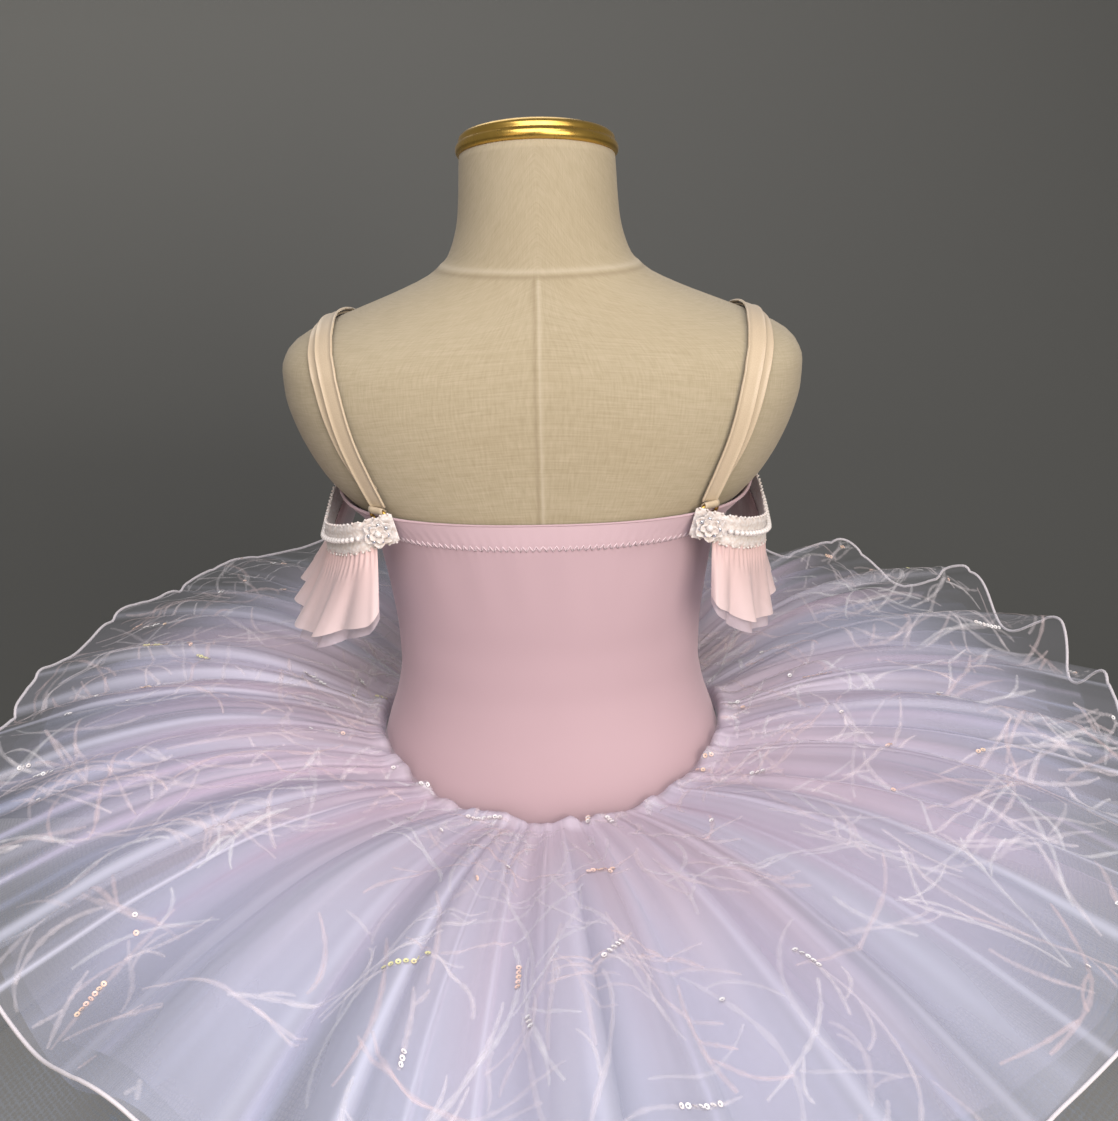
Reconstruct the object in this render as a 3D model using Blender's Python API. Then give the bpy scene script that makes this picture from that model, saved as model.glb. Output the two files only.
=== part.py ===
# Ballet tutu dress for a child, standing on a limbless dress form.
# Metres, +Z up. The dress front faces -Y, the wearer's left is +X.
# The origin is the middle of the stand's underside.
import math

import bpy
import numpy as np

# --- dress form -------------------------------------------------------------
# One row for each level of the torso, from the hips up to the neck.
FORM_COLUMNS = ("z", "half_width", "back", "front", "power")
FORM_ROWS = (
    (0.500, 0.1040, 0.0780, -0.0760, 2.20),
    (0.506, 0.1080, 0.0815, -0.0795, 2.20),
    (0.525, 0.1120, 0.0855, -0.0835, 2.20),
    (0.560, 0.1140, 0.0880, -0.0860, 2.20),
    (0.595, 0.1130, 0.0875, -0.0845, 2.20),
    (0.620, 0.1090, 0.0850, -0.0825, 2.20),
    (0.645, 0.1025, 0.0805, -0.0795, 2.20),
    (0.668, 0.0950, 0.0760, -0.0768, 2.20),
    (0.690, 0.0915, 0.0735, -0.0755, 2.20),
    (0.712, 0.0920, 0.0735, -0.0762, 2.20),
    (0.735, 0.0945, 0.0755, -0.0780, 2.20),
    (0.758, 0.0980, 0.0775, -0.0800, 2.20),
    (0.775, 0.1015, 0.0788, -0.0815, 2.20),
    (0.788, 0.1080, 0.0796, -0.0820, 2.25),
    (0.800, 0.1200, 0.0801, -0.0820, 2.30),
    (0.812, 0.1305, 0.0804, -0.0812, 2.35),
    (0.828, 0.1395, 0.0805, -0.0795, 2.45),
    (0.846, 0.1465, 0.0798, -0.0765, 2.55),
    (0.862, 0.1502, 0.0780, -0.0728, 2.60),
    (0.876, 0.1508, 0.0748, -0.0685, 2.60),
    (0.887, 0.1465, 0.0705, -0.0640, 2.50),
    (0.895, 0.1355, 0.0660, -0.0600, 2.40),
    (0.902, 0.1190, 0.0615, -0.0565, 2.30),
    (0.909, 0.1010, 0.0570, -0.0535, 2.20),
    (0.917, 0.0810, 0.0530, -0.0510, 2.10),
    (0.926, 0.0630, 0.0495, -0.0490, 2.05),
    (0.938, 0.0515, 0.0470, -0.0480, 2.00),
    (0.958, 0.0460, 0.0445, -0.0470, 2.00),
    (0.989, 0.0437, 0.0422, -0.0422, 2.00),
)
FORM_SIDES = 40
FORM_SHARP_DEG = 60.0
NECK_TILT = math.radians(15.0)  # the neck's top leans forward
NECK_TILT_START_Z = 0.926
NECK_TOP_Z = FORM_ROWS[-1][0]
FORM_BOTTOM_Z = FORM_ROWS[0][0]
NORMAL_STEP = 0.0002  # to each side of a point, where the surface's direction is worked out

# Neck cap, a turned profile above the neck's top plane.
CAP_COLUMNS = ("radius", "height")
CAP_ROWS = (
    (0.0440, 0.0000),
    (0.0454, 0.0016),
    (0.0456, 0.0042),
    (0.0444, 0.0060),
    (0.0434, 0.0068),
    (0.0436, 0.0090),
    (0.0415, 0.0112),
    (0.0300, 0.0138),
    (0.0140, 0.0150),
)
CAP_SIDES = 32

BASE_RADIUS = 0.150
BASE_HEIGHT = 0.012
BASE_CHAMFER = 0.003
POLE_RADIUS = 0.014
ROUND_SIDES = 36

SEAT_GAP = 0.0003  # between pieces that touch

# --- bodice -----------------------------------------------------------------
BODICE_LIFT = 0.0009  # inner face above the form
BODICE_WALL = 0.0015
BODICE_HEM_DEPTH = 0.015  # folded hem along the top edge
BODICE_HEM_SWELL = 0.0006
BODICE_HEM_STEP = 0.0015
BODICE_RISE_SHARES = (0.22, 0.42, 0.61, 0.80)  # rows between the last level and the hem
BODICE_BOTTOM_Z = 0.575
BODICE_TOP_COLUMNS = ("angle_deg", "z")  # 90 is the middle of the back
BODICE_TOP_ROWS = (
    (-90.0, 0.8300),
    (-62.0, 0.8400),
    (-48.0, 0.8390),
    (-25.0, 0.8170),
    (0.0, 0.8040),
    (25.0, 0.8000),
    (50.0, 0.8000),
    (90.0, 0.8000),
)
BODICE_SEAM_ANGLE = 0.0009  # radians left free at each side seam
BODICE_HEM_CLEARANCE = 0.015  # the form's levels are followed up to this far under the hem

# --- skirt ------------------------------------------------------------------
SEAM_SIDE_Z = 0.643
SEAM_DIP = 0.028  # the seam drops in a soft point at the back and the front
SEAM_DIP_POWER = 2.2  # how sharply it drops there
SEAM_GAP = 0.0009
SEAM_SAMPLES = 721
HEM_COLUMNS = ("angle_deg", "radius")  # the hem seen from above, 90 is the back
HEM_ROWS = (
    (-180.0, 0.358),
    (-150.0, 0.376),
    (-126.0, 0.354),
    (-90.0, 0.368),
    (-47.0, 0.386),
    (0.0, 0.357),
    (30.0, 0.362),
    (55.0, 0.373),
    (90.0, 0.386),
    (125.0, 0.396),
    (155.0, 0.376),
    (180.0, 0.358),
)
RIM_SIDE_Z = 0.646
RIM_BACK_DROP = 0.024
RIM_FRONT_RISE = 0.008
PUFF_BACK_LOSS = 0.30  # the skirt is flatter at the back
PUFF_COLUMNS = ("share", "rise")  # share of the way from seam to hem
PUFF_ROWS = (
    (0.00, 0.000),
    (0.10, 0.011),
    (0.25, 0.022),
    (0.45, 0.028),
    (0.70, 0.021),
    (0.88, 0.009),
    (1.00, 0.000),
    (1.12, -0.010),
)
# One row for each fold crest of the skirt, 90 is the middle of the back.
FOLD_COLUMNS = ("angle_deg", "height")
FOLD_ROWS = (
    (-178.0, 0.022),
    (-165.0, 0.030),
    (-149.0, 0.032),
    (-132.0, 0.024),
    (-114.0, 0.016),
    (-97.0, 0.014),
    (-79.0, 0.014),
    (-62.0, 0.008),
    (-44.0, 0.006),
    (-27.0, 0.006),
    (-9.0, 0.007),
    (9.0, 0.010),
    (26.0, 0.012),
    (43.0, 0.012),
    (60.0, 0.016),
    (77.0, 0.020),
    (95.0, 0.018),
    (112.0, 0.020),
    (129.0, 0.016),
    (147.0, 0.020),
    (164.0, 0.024),
)
FOLD_START_SHARE = 0.04
FOLD_GROWTH = 1.25  # power with which the folds grow from there to the hem
FOLD_REACH = 0.25  # how far a crest also pushes the hem outwards
SKIRT_WALL = 0.0014
LAYER_COLUMNS = (
    "name", "reach", "seam_drop", "hem_drop", "swing", "waves", "phase_deg", "steps",
)
LAYER_ROWS = (
    ("overskirt", 1.00, 0.0000, 0.000, 0.0000, 0, 0.0, 126),
    ("tulle_pink", 0.92, 0.0026, 0.013, 0.0055, 17, 20.0, 90),
    ("tulle_lilac", 0.95, 0.0052, 0.027, 0.0060, 15, 65.0, 78),
    ("net_underskirt", 1.08, 0.0078, 0.046, 0.0070, 13, 10.0, 72),
)
LAYER_SPREAD = 0.75  # how soon the layers part on their way to the hem
LAYER_SHARES = {
    "overskirt": (0.0, 0.10, 0.28, 0.52, 0.77, 1.0),
    "tulle_pink": (0.0, 0.16, 0.42, 0.72, 1.0),
    "tulle_lilac": (0.0, 0.16, 0.42, 0.72, 1.0),
    "net_underskirt": (0.0, 0.16, 0.42, 0.72, 1.0),
}

# --- straps -----------------------------------------------------------------
# Seen from the side: 0 points to the back, 90 up, 180 to the front.
STRAP_PIVOT_Z = 0.840
STRAP_COLUMNS = ("turn_deg", "x")
STRAP_ROWS = (
    (-29.0, 0.0915),
    (-15.0, 0.0985),
    (4.0, 0.1065),
    (26.0, 0.1130),
    (52.0, 0.1190),
    (90.0, 0.1215),
    (128.0, 0.1150),
    (160.0, 0.1020),
    (176.0, 0.0930),
)
STRAP_WIDTH = 0.0110
STRAP_WALL = 0.0010
STRAP_LIFT = 0.0006  # the doubled end above the form
STRAP_GAP = 0.0009  # between the doubled end and the strap over it
STRAP_STEPS = 28
STRAP_SEARCH_REACH = 0.2  # farther out than the form, where the search for its surface starts
STRAP_SEARCH_STEPS = 40
TURN_STEP_DEG = 0.5  # to each side of a place on the strap, where its direction is worked out
RETURN_SHIFT = 0.0055  # the doubled end lies this far outwards
RETURN_STEPS = 19
RETURN_COLUMNS = ("turn_deg", "shift_share")
RETURN_ROWS = ((-22.0, 0.2), (0.0, 0.8), (30.0, 1.0), (90.0, 0.6), (126.0, 0.1))
SLIDER_TURN_DEG = 132.0
SLIDER_LENGTH = 0.0085
SLIDER_WIDTH = 0.0150
SLIDER_BAR = 0.0016
SLIDER_WALL = 0.0012
RING_HALF_WIDTH = 0.0062
RING_HALF_HEIGHT = 0.0042
RING_WIRE = 0.0010
RING_SIDES = 12
RING_WIRE_SIDES = 6
RING_SHARP_DEG = 60.0
RING_TURN_DEG = -33.0
RING_INSET = 0.0010  # the ring's middle, inwards of the strap's

# --- sleeves ----------------------------------------------------------------
# Path of the lace band's middle line on the wearer's left, back to front.
# Both ends are sewn to the bodice, so their y is worked out from its surface.
BAND_COLUMNS = ("x", "y", "z")
BAND_ROWS = (
    (0.0835, 0.0, 0.7950),
    (0.1010, 0.0680, 0.7905),
    (0.1175, 0.0540, 0.7835),
    (0.1295, 0.0280, 0.7790),
    (0.1310, -0.0050, 0.7840),
    (0.1270, -0.0370, 0.7960),
    (0.1180, -0.0630, 0.8110),
    (0.1000, -0.0810, 0.8220),
    (0.0850, 0.0, 0.8270),
)
BAND_END_TURN_DEG = 50.0  # where its ends meet the bodice's top edge
BAND_HEIGHT = 0.0160
BAND_WALL = 0.0014
BAND_STEPS = 32
SCALLOP_DEPTH = 0.0012
SCALLOPS = 13
RUFFLE_START_SHARE = 0.06
RUFFLE_END_SHARE = 0.80
RUFFLE_LENGTH = 0.045
RUFFLE_FLARE = {"left": 0.022, "right": 0.005}
RUFFLE_SHORT_START = 0.30  # share of the length that the back end lacks
RUFFLE_START_REACH = 0.16
RUFFLE_WAVES = 7
RUFFLE_WAVE_HEIGHT = 0.0085
RUFFLE_WAVE_GROWTH = 1.2  # powers with which the waves and the flare grow towards the hem
RUFFLE_FLARE_GROWTH = 1.3
RUFFLE_WALL = 0.0012
RUFFLE_STEPS = 56
RUFFLE_SHARES = (0.0, 0.30, 0.65, 1.0)
# Applique flower on the band's back end, a low dome with a wavy edge.
ROSETTE_RADIUS = 0.0080
ROSETTE_PETALS = 5
ROSETTE_PETAL_DEPTH = 0.14
ROSETTE_SIDES = 20
ROSETTE_SHARE = 0.045
ROSETTE_LIFT = 0.0006
# Each row: share of the radius, height above the band.
ROSETTE_ROWS = ((1.0, 0.0), (1.0, 0.0012), (0.62, 0.0024), (0.34, 0.0020), (0.20, 0.0036))


def clear_scene():
    for item in list(bpy.data.objects):
        bpy.data.objects.remove(item)


def column(rows, names, name):
    """One named column of a table."""
    return np.array([row[names.index(name)] for row in rows], float)


def material(name, color, roughness, metallic=0.0):
    mat = bpy.data.materials.new(name)
    mat.use_nodes = True
    shader = mat.node_tree.nodes["Principled BSDF"]
    shader.inputs["Base Color"].default_value = (*color, 1.0)
    shader.inputs["Roughness"].default_value = roughness
    shader.inputs["Metallic"].default_value = metallic
    return mat


def add_mesh(name, points, faces, mat, sharp_deg=40.0):
    """One closed body from points and faces, turned outwards and shaded smooth."""
    mesh = bpy.data.meshes.new(name)
    mesh.from_pydata([tuple(p) for p in points], [], faces)
    mesh.validate()
    mesh.calc_loop_triangles()
    corners = np.array([mesh.vertices[i].co for t in mesh.loop_triangles for i in t.vertices])
    corners = corners.reshape(-1, 3, 3)
    volume = np.einsum("ij,ij->i", corners[:, 0], np.cross(corners[:, 1], corners[:, 2])).sum()
    if volume < 0:
        mesh.flip_normals()
    mesh.shade_smooth()
    mesh.set_sharp_from_angle(angle=math.radians(sharp_deg))
    mesh.materials.append(mat)
    body = bpy.data.objects.new(name, mesh)
    bpy.context.scene.collection.objects.link(body)
    return body


def wall(name, outer, inner, mat, closed=False):
    """A sheet with thickness: two grids (along, across, 3) joined round their edges."""
    rows, cols = outer.shape[:2]
    index = np.arange(rows * cols).reshape(rows, cols)
    other = index + rows * cols
    points = np.concatenate([outer.reshape(-1, 3), inner.reshape(-1, 3)])
    ahead = np.roll(index, -1, axis=0)
    last = rows if closed else rows - 1
    faces = []
    for i in range(last):
        j = int(ahead[i, 0]) // cols
        for k in range(cols - 1):
            faces.append((index[i, k], index[j, k], index[j, k + 1], index[i, k + 1]))
            faces.append((other[i, k], other[i, k + 1], other[j, k + 1], other[j, k]))
        faces.append((index[i, 0], other[i, 0], other[j, 0], index[j, 0]))
        end = cols - 1
        faces.append((index[i, end], index[j, end], other[j, end], other[i, end]))
    if not closed:
        for k in range(cols - 1):
            faces.append((index[0, k], index[0, k + 1], other[0, k + 1], other[0, k]))
            end = rows - 1
            faces.append((index[end, k], other[end, k], other[end, k + 1], index[end, k + 1]))
    return add_mesh(name, points, [tuple(int(v) for v in f) for f in faces], mat)


def stacked_rings(name, rings, mat, sharp_deg=40.0):
    """A solid through rings of equal count, closed by a flat fan at each end."""
    levels, sides = rings.shape[:2]
    points = list(rings.reshape(-1, 3))
    faces = []
    for i in range(levels - 1):
        for k in range(sides):
            m = (k + 1) % sides
            faces.append((i * sides + k, i * sides + m, (i + 1) * sides + m, (i + 1) * sides + k))
    for level, turn in ((0, 1), (levels - 1, -1)):
        middle = len(points)
        points.append(rings[level].mean(axis=0))
        for k in range(sides):
            m = (k + 1) % sides
            edge = (level * sides + m, level * sides + k)[::turn]
            faces.append((middle, *edge))
    return add_mesh(name, points, faces, mat, sharp_deg)


def smooth(rows, names, name, at):
    """Reads a column against the table's first one, on a curve with no overshoot."""
    x = column(rows, names, names[0])
    y = column(rows, names, name)
    at = np.clip(np.asarray(at, float), x[0], x[-1])
    step = np.diff(x)
    slope = np.diff(y) / step
    tangent = np.zeros(len(x))
    same = slope[1:] * slope[:-1] > 0
    left, right = slope[:-1][same], slope[1:][same]
    tangent[1:-1][same] = 2 * left * right / (left + right)
    tangent[0], tangent[-1] = slope[0], slope[-1]
    i = np.clip(np.searchsorted(x, at, side="right") - 1, 0, len(step) - 1)
    t = (at - x[i]) / step[i]
    keep = (1 + 2 * t) * (1 - t) ** 2 * y[i] + t * t * (3 - 2 * t) * y[i + 1]
    bend = t * (1 - t) ** 2 * tangent[i] - t * t * (1 - t) * tangent[i + 1]
    return keep + step[i] * bend


def form_size(z):
    """Half width, half depth, middle y and power of the form's section at z."""
    wide, back, front, power = [smooth(FORM_ROWS, FORM_COLUMNS, name, z) for name in FORM_COLUMNS[1:]]
    return wide, (back - front) / 2, (back + front) / 2, power


def form_value(x, y, z):
    """0 on the form's surface, less inside it."""
    wide, deep, middle, power = form_size(z)
    return np.abs(x / wide) ** power + np.abs((y - middle) / deep) ** power - 1


def form_point(angle, z):
    """Point of the form's rounded section at an angle, 90 degrees at the back."""
    wide, deep, middle, power = form_size(z)
    cos, sin = np.cos(angle), np.sin(angle)
    x = wide * np.sign(cos) * np.abs(cos) ** (2 / power)
    y = middle + deep * np.sign(sin) * np.abs(sin) ** (2 / power)
    return np.stack([x, y, z + 0 * x], axis=-1)


def form_normal(points):
    """Outward direction of the form's surface at points that lie on it."""
    x, y, z = points[..., 0], points[..., 1], points[..., 2]
    step = NORMAL_STEP
    gradient = np.stack([
        form_value(x + step, y, z) - form_value(x - step, y, z),
        form_value(x, y + step, z) - form_value(x, y - step, z),
        form_value(x, y, z + step) - form_value(x, y, z - step),
    ], axis=-1)
    return gradient / np.linalg.norm(gradient, axis=-1, keepdims=True)


def form_tilted(points):
    """Leans the levels of the neck forward, more towards its top."""
    share = (points[..., 2] - NECK_TILT_START_Z) / (NECK_TOP_Z - NECK_TILT_START_Z)
    points = points.copy()
    points[..., 2] += np.clip(share, 0, 1) * points[..., 1] * math.tan(NECK_TILT)
    return points


def make_form(linen, gilt, painted):
    levels = column(FORM_ROWS, FORM_COLUMNS, "z")
    angles = np.linspace(0, 2 * math.pi, FORM_SIDES, endpoint=False)
    rings = form_point(angles[None, :], levels[:, None])
    stacked_rings("form_torso", form_tilted(rings), linen, FORM_SHARP_DEG)

    # The cap stands on the neck's leaning top plane.
    turns = np.linspace(0, 2 * math.pi, CAP_SIDES, endpoint=False)
    radius = column(CAP_ROWS, CAP_COLUMNS, "radius")[:, None]
    height = column(CAP_ROWS, CAP_COLUMNS, "height")[:, None] + SEAT_GAP
    across = radius * np.cos(turns) + 0 * height
    along = radius * np.sin(turns)
    lean, upright = math.sin(NECK_TILT), math.cos(NECK_TILT)
    rings = np.stack([
        across,
        along * upright - height * lean,
        NECK_TOP_Z + along * lean + height * upright,
    ], axis=-1)
    stacked_rings("form_neck_cap", rings, gilt)

    def turned(name, rows):
        angle = np.linspace(0, 2 * math.pi, ROUND_SIDES, endpoint=False)
        size = column(rows, CAP_COLUMNS, "radius")[:, None]
        level = column(rows, CAP_COLUMNS, "height")[:, None]
        shape = np.stack([size * np.cos(angle), size * np.sin(angle), level + 0 * angle], axis=-1)
        stacked_rings(name, shape, painted)

    turned("stand_base", (
        (BASE_RADIUS, 0.0),
        (BASE_RADIUS, BASE_HEIGHT - BASE_CHAMFER),
        (BASE_RADIUS - BASE_CHAMFER, BASE_HEIGHT),
    ))
    turned("stand_pole", (
        (POLE_RADIUS, BASE_HEIGHT + SEAT_GAP),
        (POLE_RADIUS, FORM_BOTTOM_Z - SEAT_GAP),
    ))


def bodice_top(angle):
    """Height of the bodice's top edge, the same on the wearer's left and right."""
    degrees = np.degrees(np.arcsin(np.clip(np.sin(angle), -1, 1)))
    return smooth(BODICE_TOP_ROWS, BODICE_TOP_COLUMNS, "z", degrees)


def make_bodice(knit):
    for name, start in (("bodice_back", 0.0), ("bodice_front", math.pi)):
        angles = start + np.linspace(0, math.pi, FORM_SIDES // 2 + 1)
        angles[0] += BODICE_SEAM_ANGLE
        angles[-1] -= BODICE_SEAM_ANGLE
        top = bodice_top(angles)[:, None]
        hem = top - BODICE_HEM_DEPTH
        highest = hem.min() - BODICE_HEM_CLEARANCE
        levels = column(FORM_ROWS, FORM_COLUMNS, "z")
        levels = levels[(levels > BODICE_BOTTOM_Z) & (levels < highest)]
        levels = np.array([BODICE_BOTTOM_Z, *levels])
        rise = levels[-1] + np.array(BODICE_RISE_SHARES) * (hem - levels[-1])
        z = np.concatenate([levels + 0 * top, rise, hem, hem + BODICE_HEM_STEP, top], axis=1)
        swell = np.zeros(z.shape[1])
        swell[-2:] = BODICE_HEM_SWELL
        surface = form_point(angles[:, None], z)
        out = form_normal(surface)
        outer = surface + out * (BODICE_LIFT + BODICE_WALL + swell)[..., None]
        inner = surface + out * BODICE_LIFT
        wall(name, outer, inner, knit)


def seam_z(angle):
    return SEAM_SIDE_Z - SEAM_DIP * np.abs(np.sin(angle)) ** SEAM_DIP_POWER


def seam_point(angle, drop):
    """Point just off the bodice, this far under the waist seam, in a direction seen from above."""
    turn = np.linspace(-math.pi, math.pi, SEAM_SAMPLES)
    reach = BODICE_LIFT + BODICE_WALL + SEAM_GAP
    ring = form_point(turn, seam_z(turn) - drop)
    ring = ring + form_normal(ring) * reach
    seen = np.arctan2(ring[:, 1], ring[:, 0])
    change = (turn - seen + math.pi) % (2 * math.pi) - math.pi
    at = angle + np.interp(angle, seen, change, period=2 * math.pi)
    point = form_point(at, seam_z(at) - drop)
    return point + form_normal(point) * (reach, reach, 0)


def fold_wave(angle):
    """Height of the folds at the hem: a smooth crest for each row, a trough between rows."""
    crest = np.radians(column(FOLD_ROWS, FOLD_COLUMNS, "angle_deg"))
    height = column(FOLD_ROWS, FOLD_COLUMNS, "height")
    crest = np.append(crest, crest[0] + 2 * math.pi)
    height = np.append(height, height[0])
    trough = (crest[1:] + crest[:-1]) / 2
    depth = -(height[1:] + height[:-1]) / 4
    knots = np.empty(2 * len(trough) + 1)
    values = np.empty_like(knots)
    knots[0::2], knots[1::2] = crest, trough
    values[0::2], values[1::2] = height / 2, depth
    at = (angle - knots[0]) % (2 * math.pi) + knots[0]
    i = np.clip(np.searchsorted(knots, at, side="right") - 1, 0, len(trough) * 2 - 1)
    t = (at - knots[i]) / (knots[i + 1] - knots[i])
    return values[i] + (values[i + 1] - values[i]) * (1 - np.cos(math.pi * t)) / 2


def skirt_surface(angle, share, drop):
    """A layer's upper face: share is 0 at the waist seam and 1 at the overskirt's hem."""
    start = seam_point(angle, drop)
    sin = np.sin(angle)
    grow = np.clip((share - FOLD_START_SHARE) / (1 - FOLD_START_SHARE), 0, None) ** FOLD_GROWTH
    wave = fold_wave(angle) * grow
    turn_deg = np.degrees(np.arctan2(sin, np.cos(angle)))
    reach = smooth(HEM_ROWS, HEM_COLUMNS, "radius", turn_deg) + FOLD_REACH * wave
    rim = np.stack([reach * np.cos(angle), reach * sin, 0 * angle], axis=-1)
    level = RIM_SIDE_Z - RIM_BACK_DROP * np.clip(sin, 0, 1) ** 2
    level = level + RIM_FRONT_RISE * np.clip(-sin, 0, 1) ** 2
    puff = smooth(PUFF_ROWS, PUFF_COLUMNS, "rise", share)
    puff = puff * (1 - PUFF_BACK_LOSS * np.clip(sin, 0, 1) ** 2)
    point = start * (1 - share)[..., None] + rim * share[..., None]
    point[..., 2] = start[..., 2] * (1 - share) + level * share + puff + wave
    return point


def make_skirt(cloths):
    for row in LAYER_ROWS:
        layer = dict(zip(LAYER_COLUMNS, row))
        name = layer["name"]
        angles = np.linspace(-math.pi, math.pi, layer["steps"], endpoint=False)
        share = np.array(LAYER_SHARES[name])[None, :] * layer["reach"]
        angle, share = np.broadcast_arrays(angles[:, None], share)
        upper = skirt_surface(angle, share, layer["seam_drop"])
        ripple = layer["swing"] * np.sin(layer["waves"] * angle + math.radians(layer["phase_deg"]))
        upper[..., 2] -= share ** LAYER_SPREAD * layer["hem_drop"] + share * ripple
        lower = upper.copy()
        lower[..., 2] -= SKIRT_WALL
        wall(name, upper, lower, cloths[name], closed=True)


def strap_surface(turn_deg, x):
    """Point of the form's surface straight out from the strap's pivot line."""
    turn = np.radians(turn_deg)
    inside, outside = 0 * turn, 0 * turn + STRAP_SEARCH_REACH
    for _ in range(STRAP_SEARCH_STEPS):
        reach = (inside + outside) / 2
        value = form_value(x, reach * np.cos(turn), STRAP_PIVOT_Z + reach * np.sin(turn))
        inside = np.where(value < 0, reach, inside)
        outside = np.where(value < 0, outside, reach)
    return np.stack([x, inside * np.cos(turn), STRAP_PIVOT_Z + inside * np.sin(turn)], axis=-1)


def strap_frame(turn_deg, shift=0.0):
    """Points under a strap's middle line, with the surface's normal and the strap's width."""
    x = smooth(STRAP_ROWS, STRAP_COLUMNS, "x", turn_deg) + shift
    point = strap_surface(turn_deg, x)
    normal = form_normal(point)
    along = np.gradient(point, axis=0)
    across = np.cross(along, normal)
    across /= np.linalg.norm(across, axis=-1, keepdims=True)
    return point, normal, across


def strip(name, point, normal, across, width, low, high, mat, side):
    """A flat band lying over points of a surface, between two heights above it."""
    edges = np.array([-0.5, 0.5]) * width
    flat = point[:, None, :] + across[:, None, :] * edges[None, :, None]
    flip = np.array([side, 1.0, 1.0])
    upper = flat + (normal * high)[:, None, :]
    lower = flat + (normal * low)[:, None, :]
    wall(name, upper * flip, lower * flip, mat)


def make_strap(label, side, elastic, metal):
    turn = np.linspace(STRAP_ROWS[0][0], STRAP_ROWS[-1][0], STRAP_STEPS + 1)
    point, normal, across = strap_frame(turn)
    low = STRAP_LIFT + STRAP_WALL + STRAP_GAP
    strip("strap_" + label, point, normal, across, STRAP_WIDTH, low, low + STRAP_WALL, elastic, side)

    turn = np.linspace(RETURN_ROWS[0][0], RETURN_ROWS[-1][0], RETURN_STEPS + 1)
    shift = RETURN_SHIFT * smooth(RETURN_ROWS, RETURN_COLUMNS, "shift_share", turn)
    point, normal, across = strap_frame(turn, shift)
    strip("strap_return_" + label, point, normal, across, STRAP_WIDTH, STRAP_LIFT,
          STRAP_LIFT + STRAP_WALL, elastic, side)

    # The slider is a flat frame lying on the strap.
    turn = SLIDER_TURN_DEG + np.array([-1.0, 0.0, 1.0]) * TURN_STEP_DEG
    point, normal, across = strap_frame(turn)
    middle, up, sideways = point[1], normal[1], across[1]
    forward = np.cross(up, sideways)
    lift = low + STRAP_WALL + SEAT_GAP
    outline = np.array([(-1, -1), (1, -1), (1, 1), (-1, 1)], float)
    flip = np.array([side, 1.0, 1.0])
    outer = outline * (SLIDER_WIDTH / 2, SLIDER_LENGTH / 2)
    hole = outline * (SLIDER_WIDTH / 2 - SLIDER_BAR, SLIDER_LENGTH / 2 - SLIDER_BAR)
    flat = np.stack([outer, hole], axis=1)
    flat = middle + flat[..., :1] * sideways + flat[..., 1:] * forward
    wall("slider_" + label, (flat + up * (lift + SLIDER_WALL)) * flip, (flat + up * lift) * flip,
         metal, closed=True)


def wire_loop(name, path, radius, sides, mat):
    """A round wire along a flat closed path."""
    along = np.roll(path, -1, axis=0) - np.roll(path, 1, axis=0)
    along /= np.linalg.norm(along, axis=-1, keepdims=True)
    first = np.cross(along, np.cross(along[0], along[len(path) // 3]))
    first /= np.linalg.norm(first, axis=-1, keepdims=True)
    second = np.cross(along, first)
    turn = np.linspace(0, 2 * math.pi, sides, endpoint=False)
    ring = np.cos(turn)[None, :, None] * first[:, None, :]
    ring = path[:, None, :] + radius * (ring + np.sin(turn)[None, :, None] * second[:, None, :])
    count = len(path)
    points = ring.reshape(-1, 3)
    faces = []
    for i in range(count):
        j = (i + 1) % count
        for k in range(sides):
            m = (k + 1) % sides
            faces.append((i * sides + k, j * sides + k, j * sides + m, i * sides + m))
    add_mesh(name, points, faces, mat, RING_SHARP_DEG)


def make_ring(label, side, metal):
    """The oval ring at the strap's back end, lying on the bodice."""
    turn = RING_TURN_DEG + np.array([-1.0, 0.0, 1.0]) * TURN_STEP_DEG
    x = 0 * turn + column(STRAP_ROWS, STRAP_COLUMNS, "x")[0] - RING_INSET
    point = strap_surface(turn, x)
    up = form_normal(point)[1]
    down = np.array([0.0, 0.0, -1.0])
    down = down - up * (down @ up)
    down /= np.linalg.norm(down)
    sideways = np.cross(up, down)
    middle = point[1] + up * (BODICE_LIFT + BODICE_WALL + BODICE_HEM_SWELL + SEAT_GAP + RING_WIRE)
    angle = np.linspace(0, 2 * math.pi, RING_SIDES, endpoint=False)
    path = middle + RING_HALF_WIDTH * np.cos(angle)[:, None] * sideways
    path = path + RING_HALF_HEIGHT * np.sin(angle)[:, None] * down
    flip = np.array([side, 1.0, 1.0])
    wire_loop("ring_" + label, path * flip, RING_WIRE, RING_WIRE_SIDES, metal)


def sewn_y(x, z, side):
    """The y at which an upright band just clears the bodice, side 1 at the back, -1 at the front."""
    half = BAND_HEIGHT / 2 + SCALLOP_DEPTH
    edge = bodice_top(side * math.radians(BAND_END_TURN_DEG))
    levels = np.minimum(z + half * np.array([-1.0, 0.0, 1.0]), edge)
    wide, deep, middle, power = form_size(levels)
    y = middle + side * deep * (1 - (x / wide) ** power) ** (1 / power)
    normal = form_normal(np.stack([x + 0 * y, y, levels], axis=-1))
    reach = BODICE_LIFT + BODICE_WALL + BODICE_HEM_SWELL + SEAT_GAP
    return side * (side * y + reach / np.abs(normal[:, 1])).max()


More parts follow.
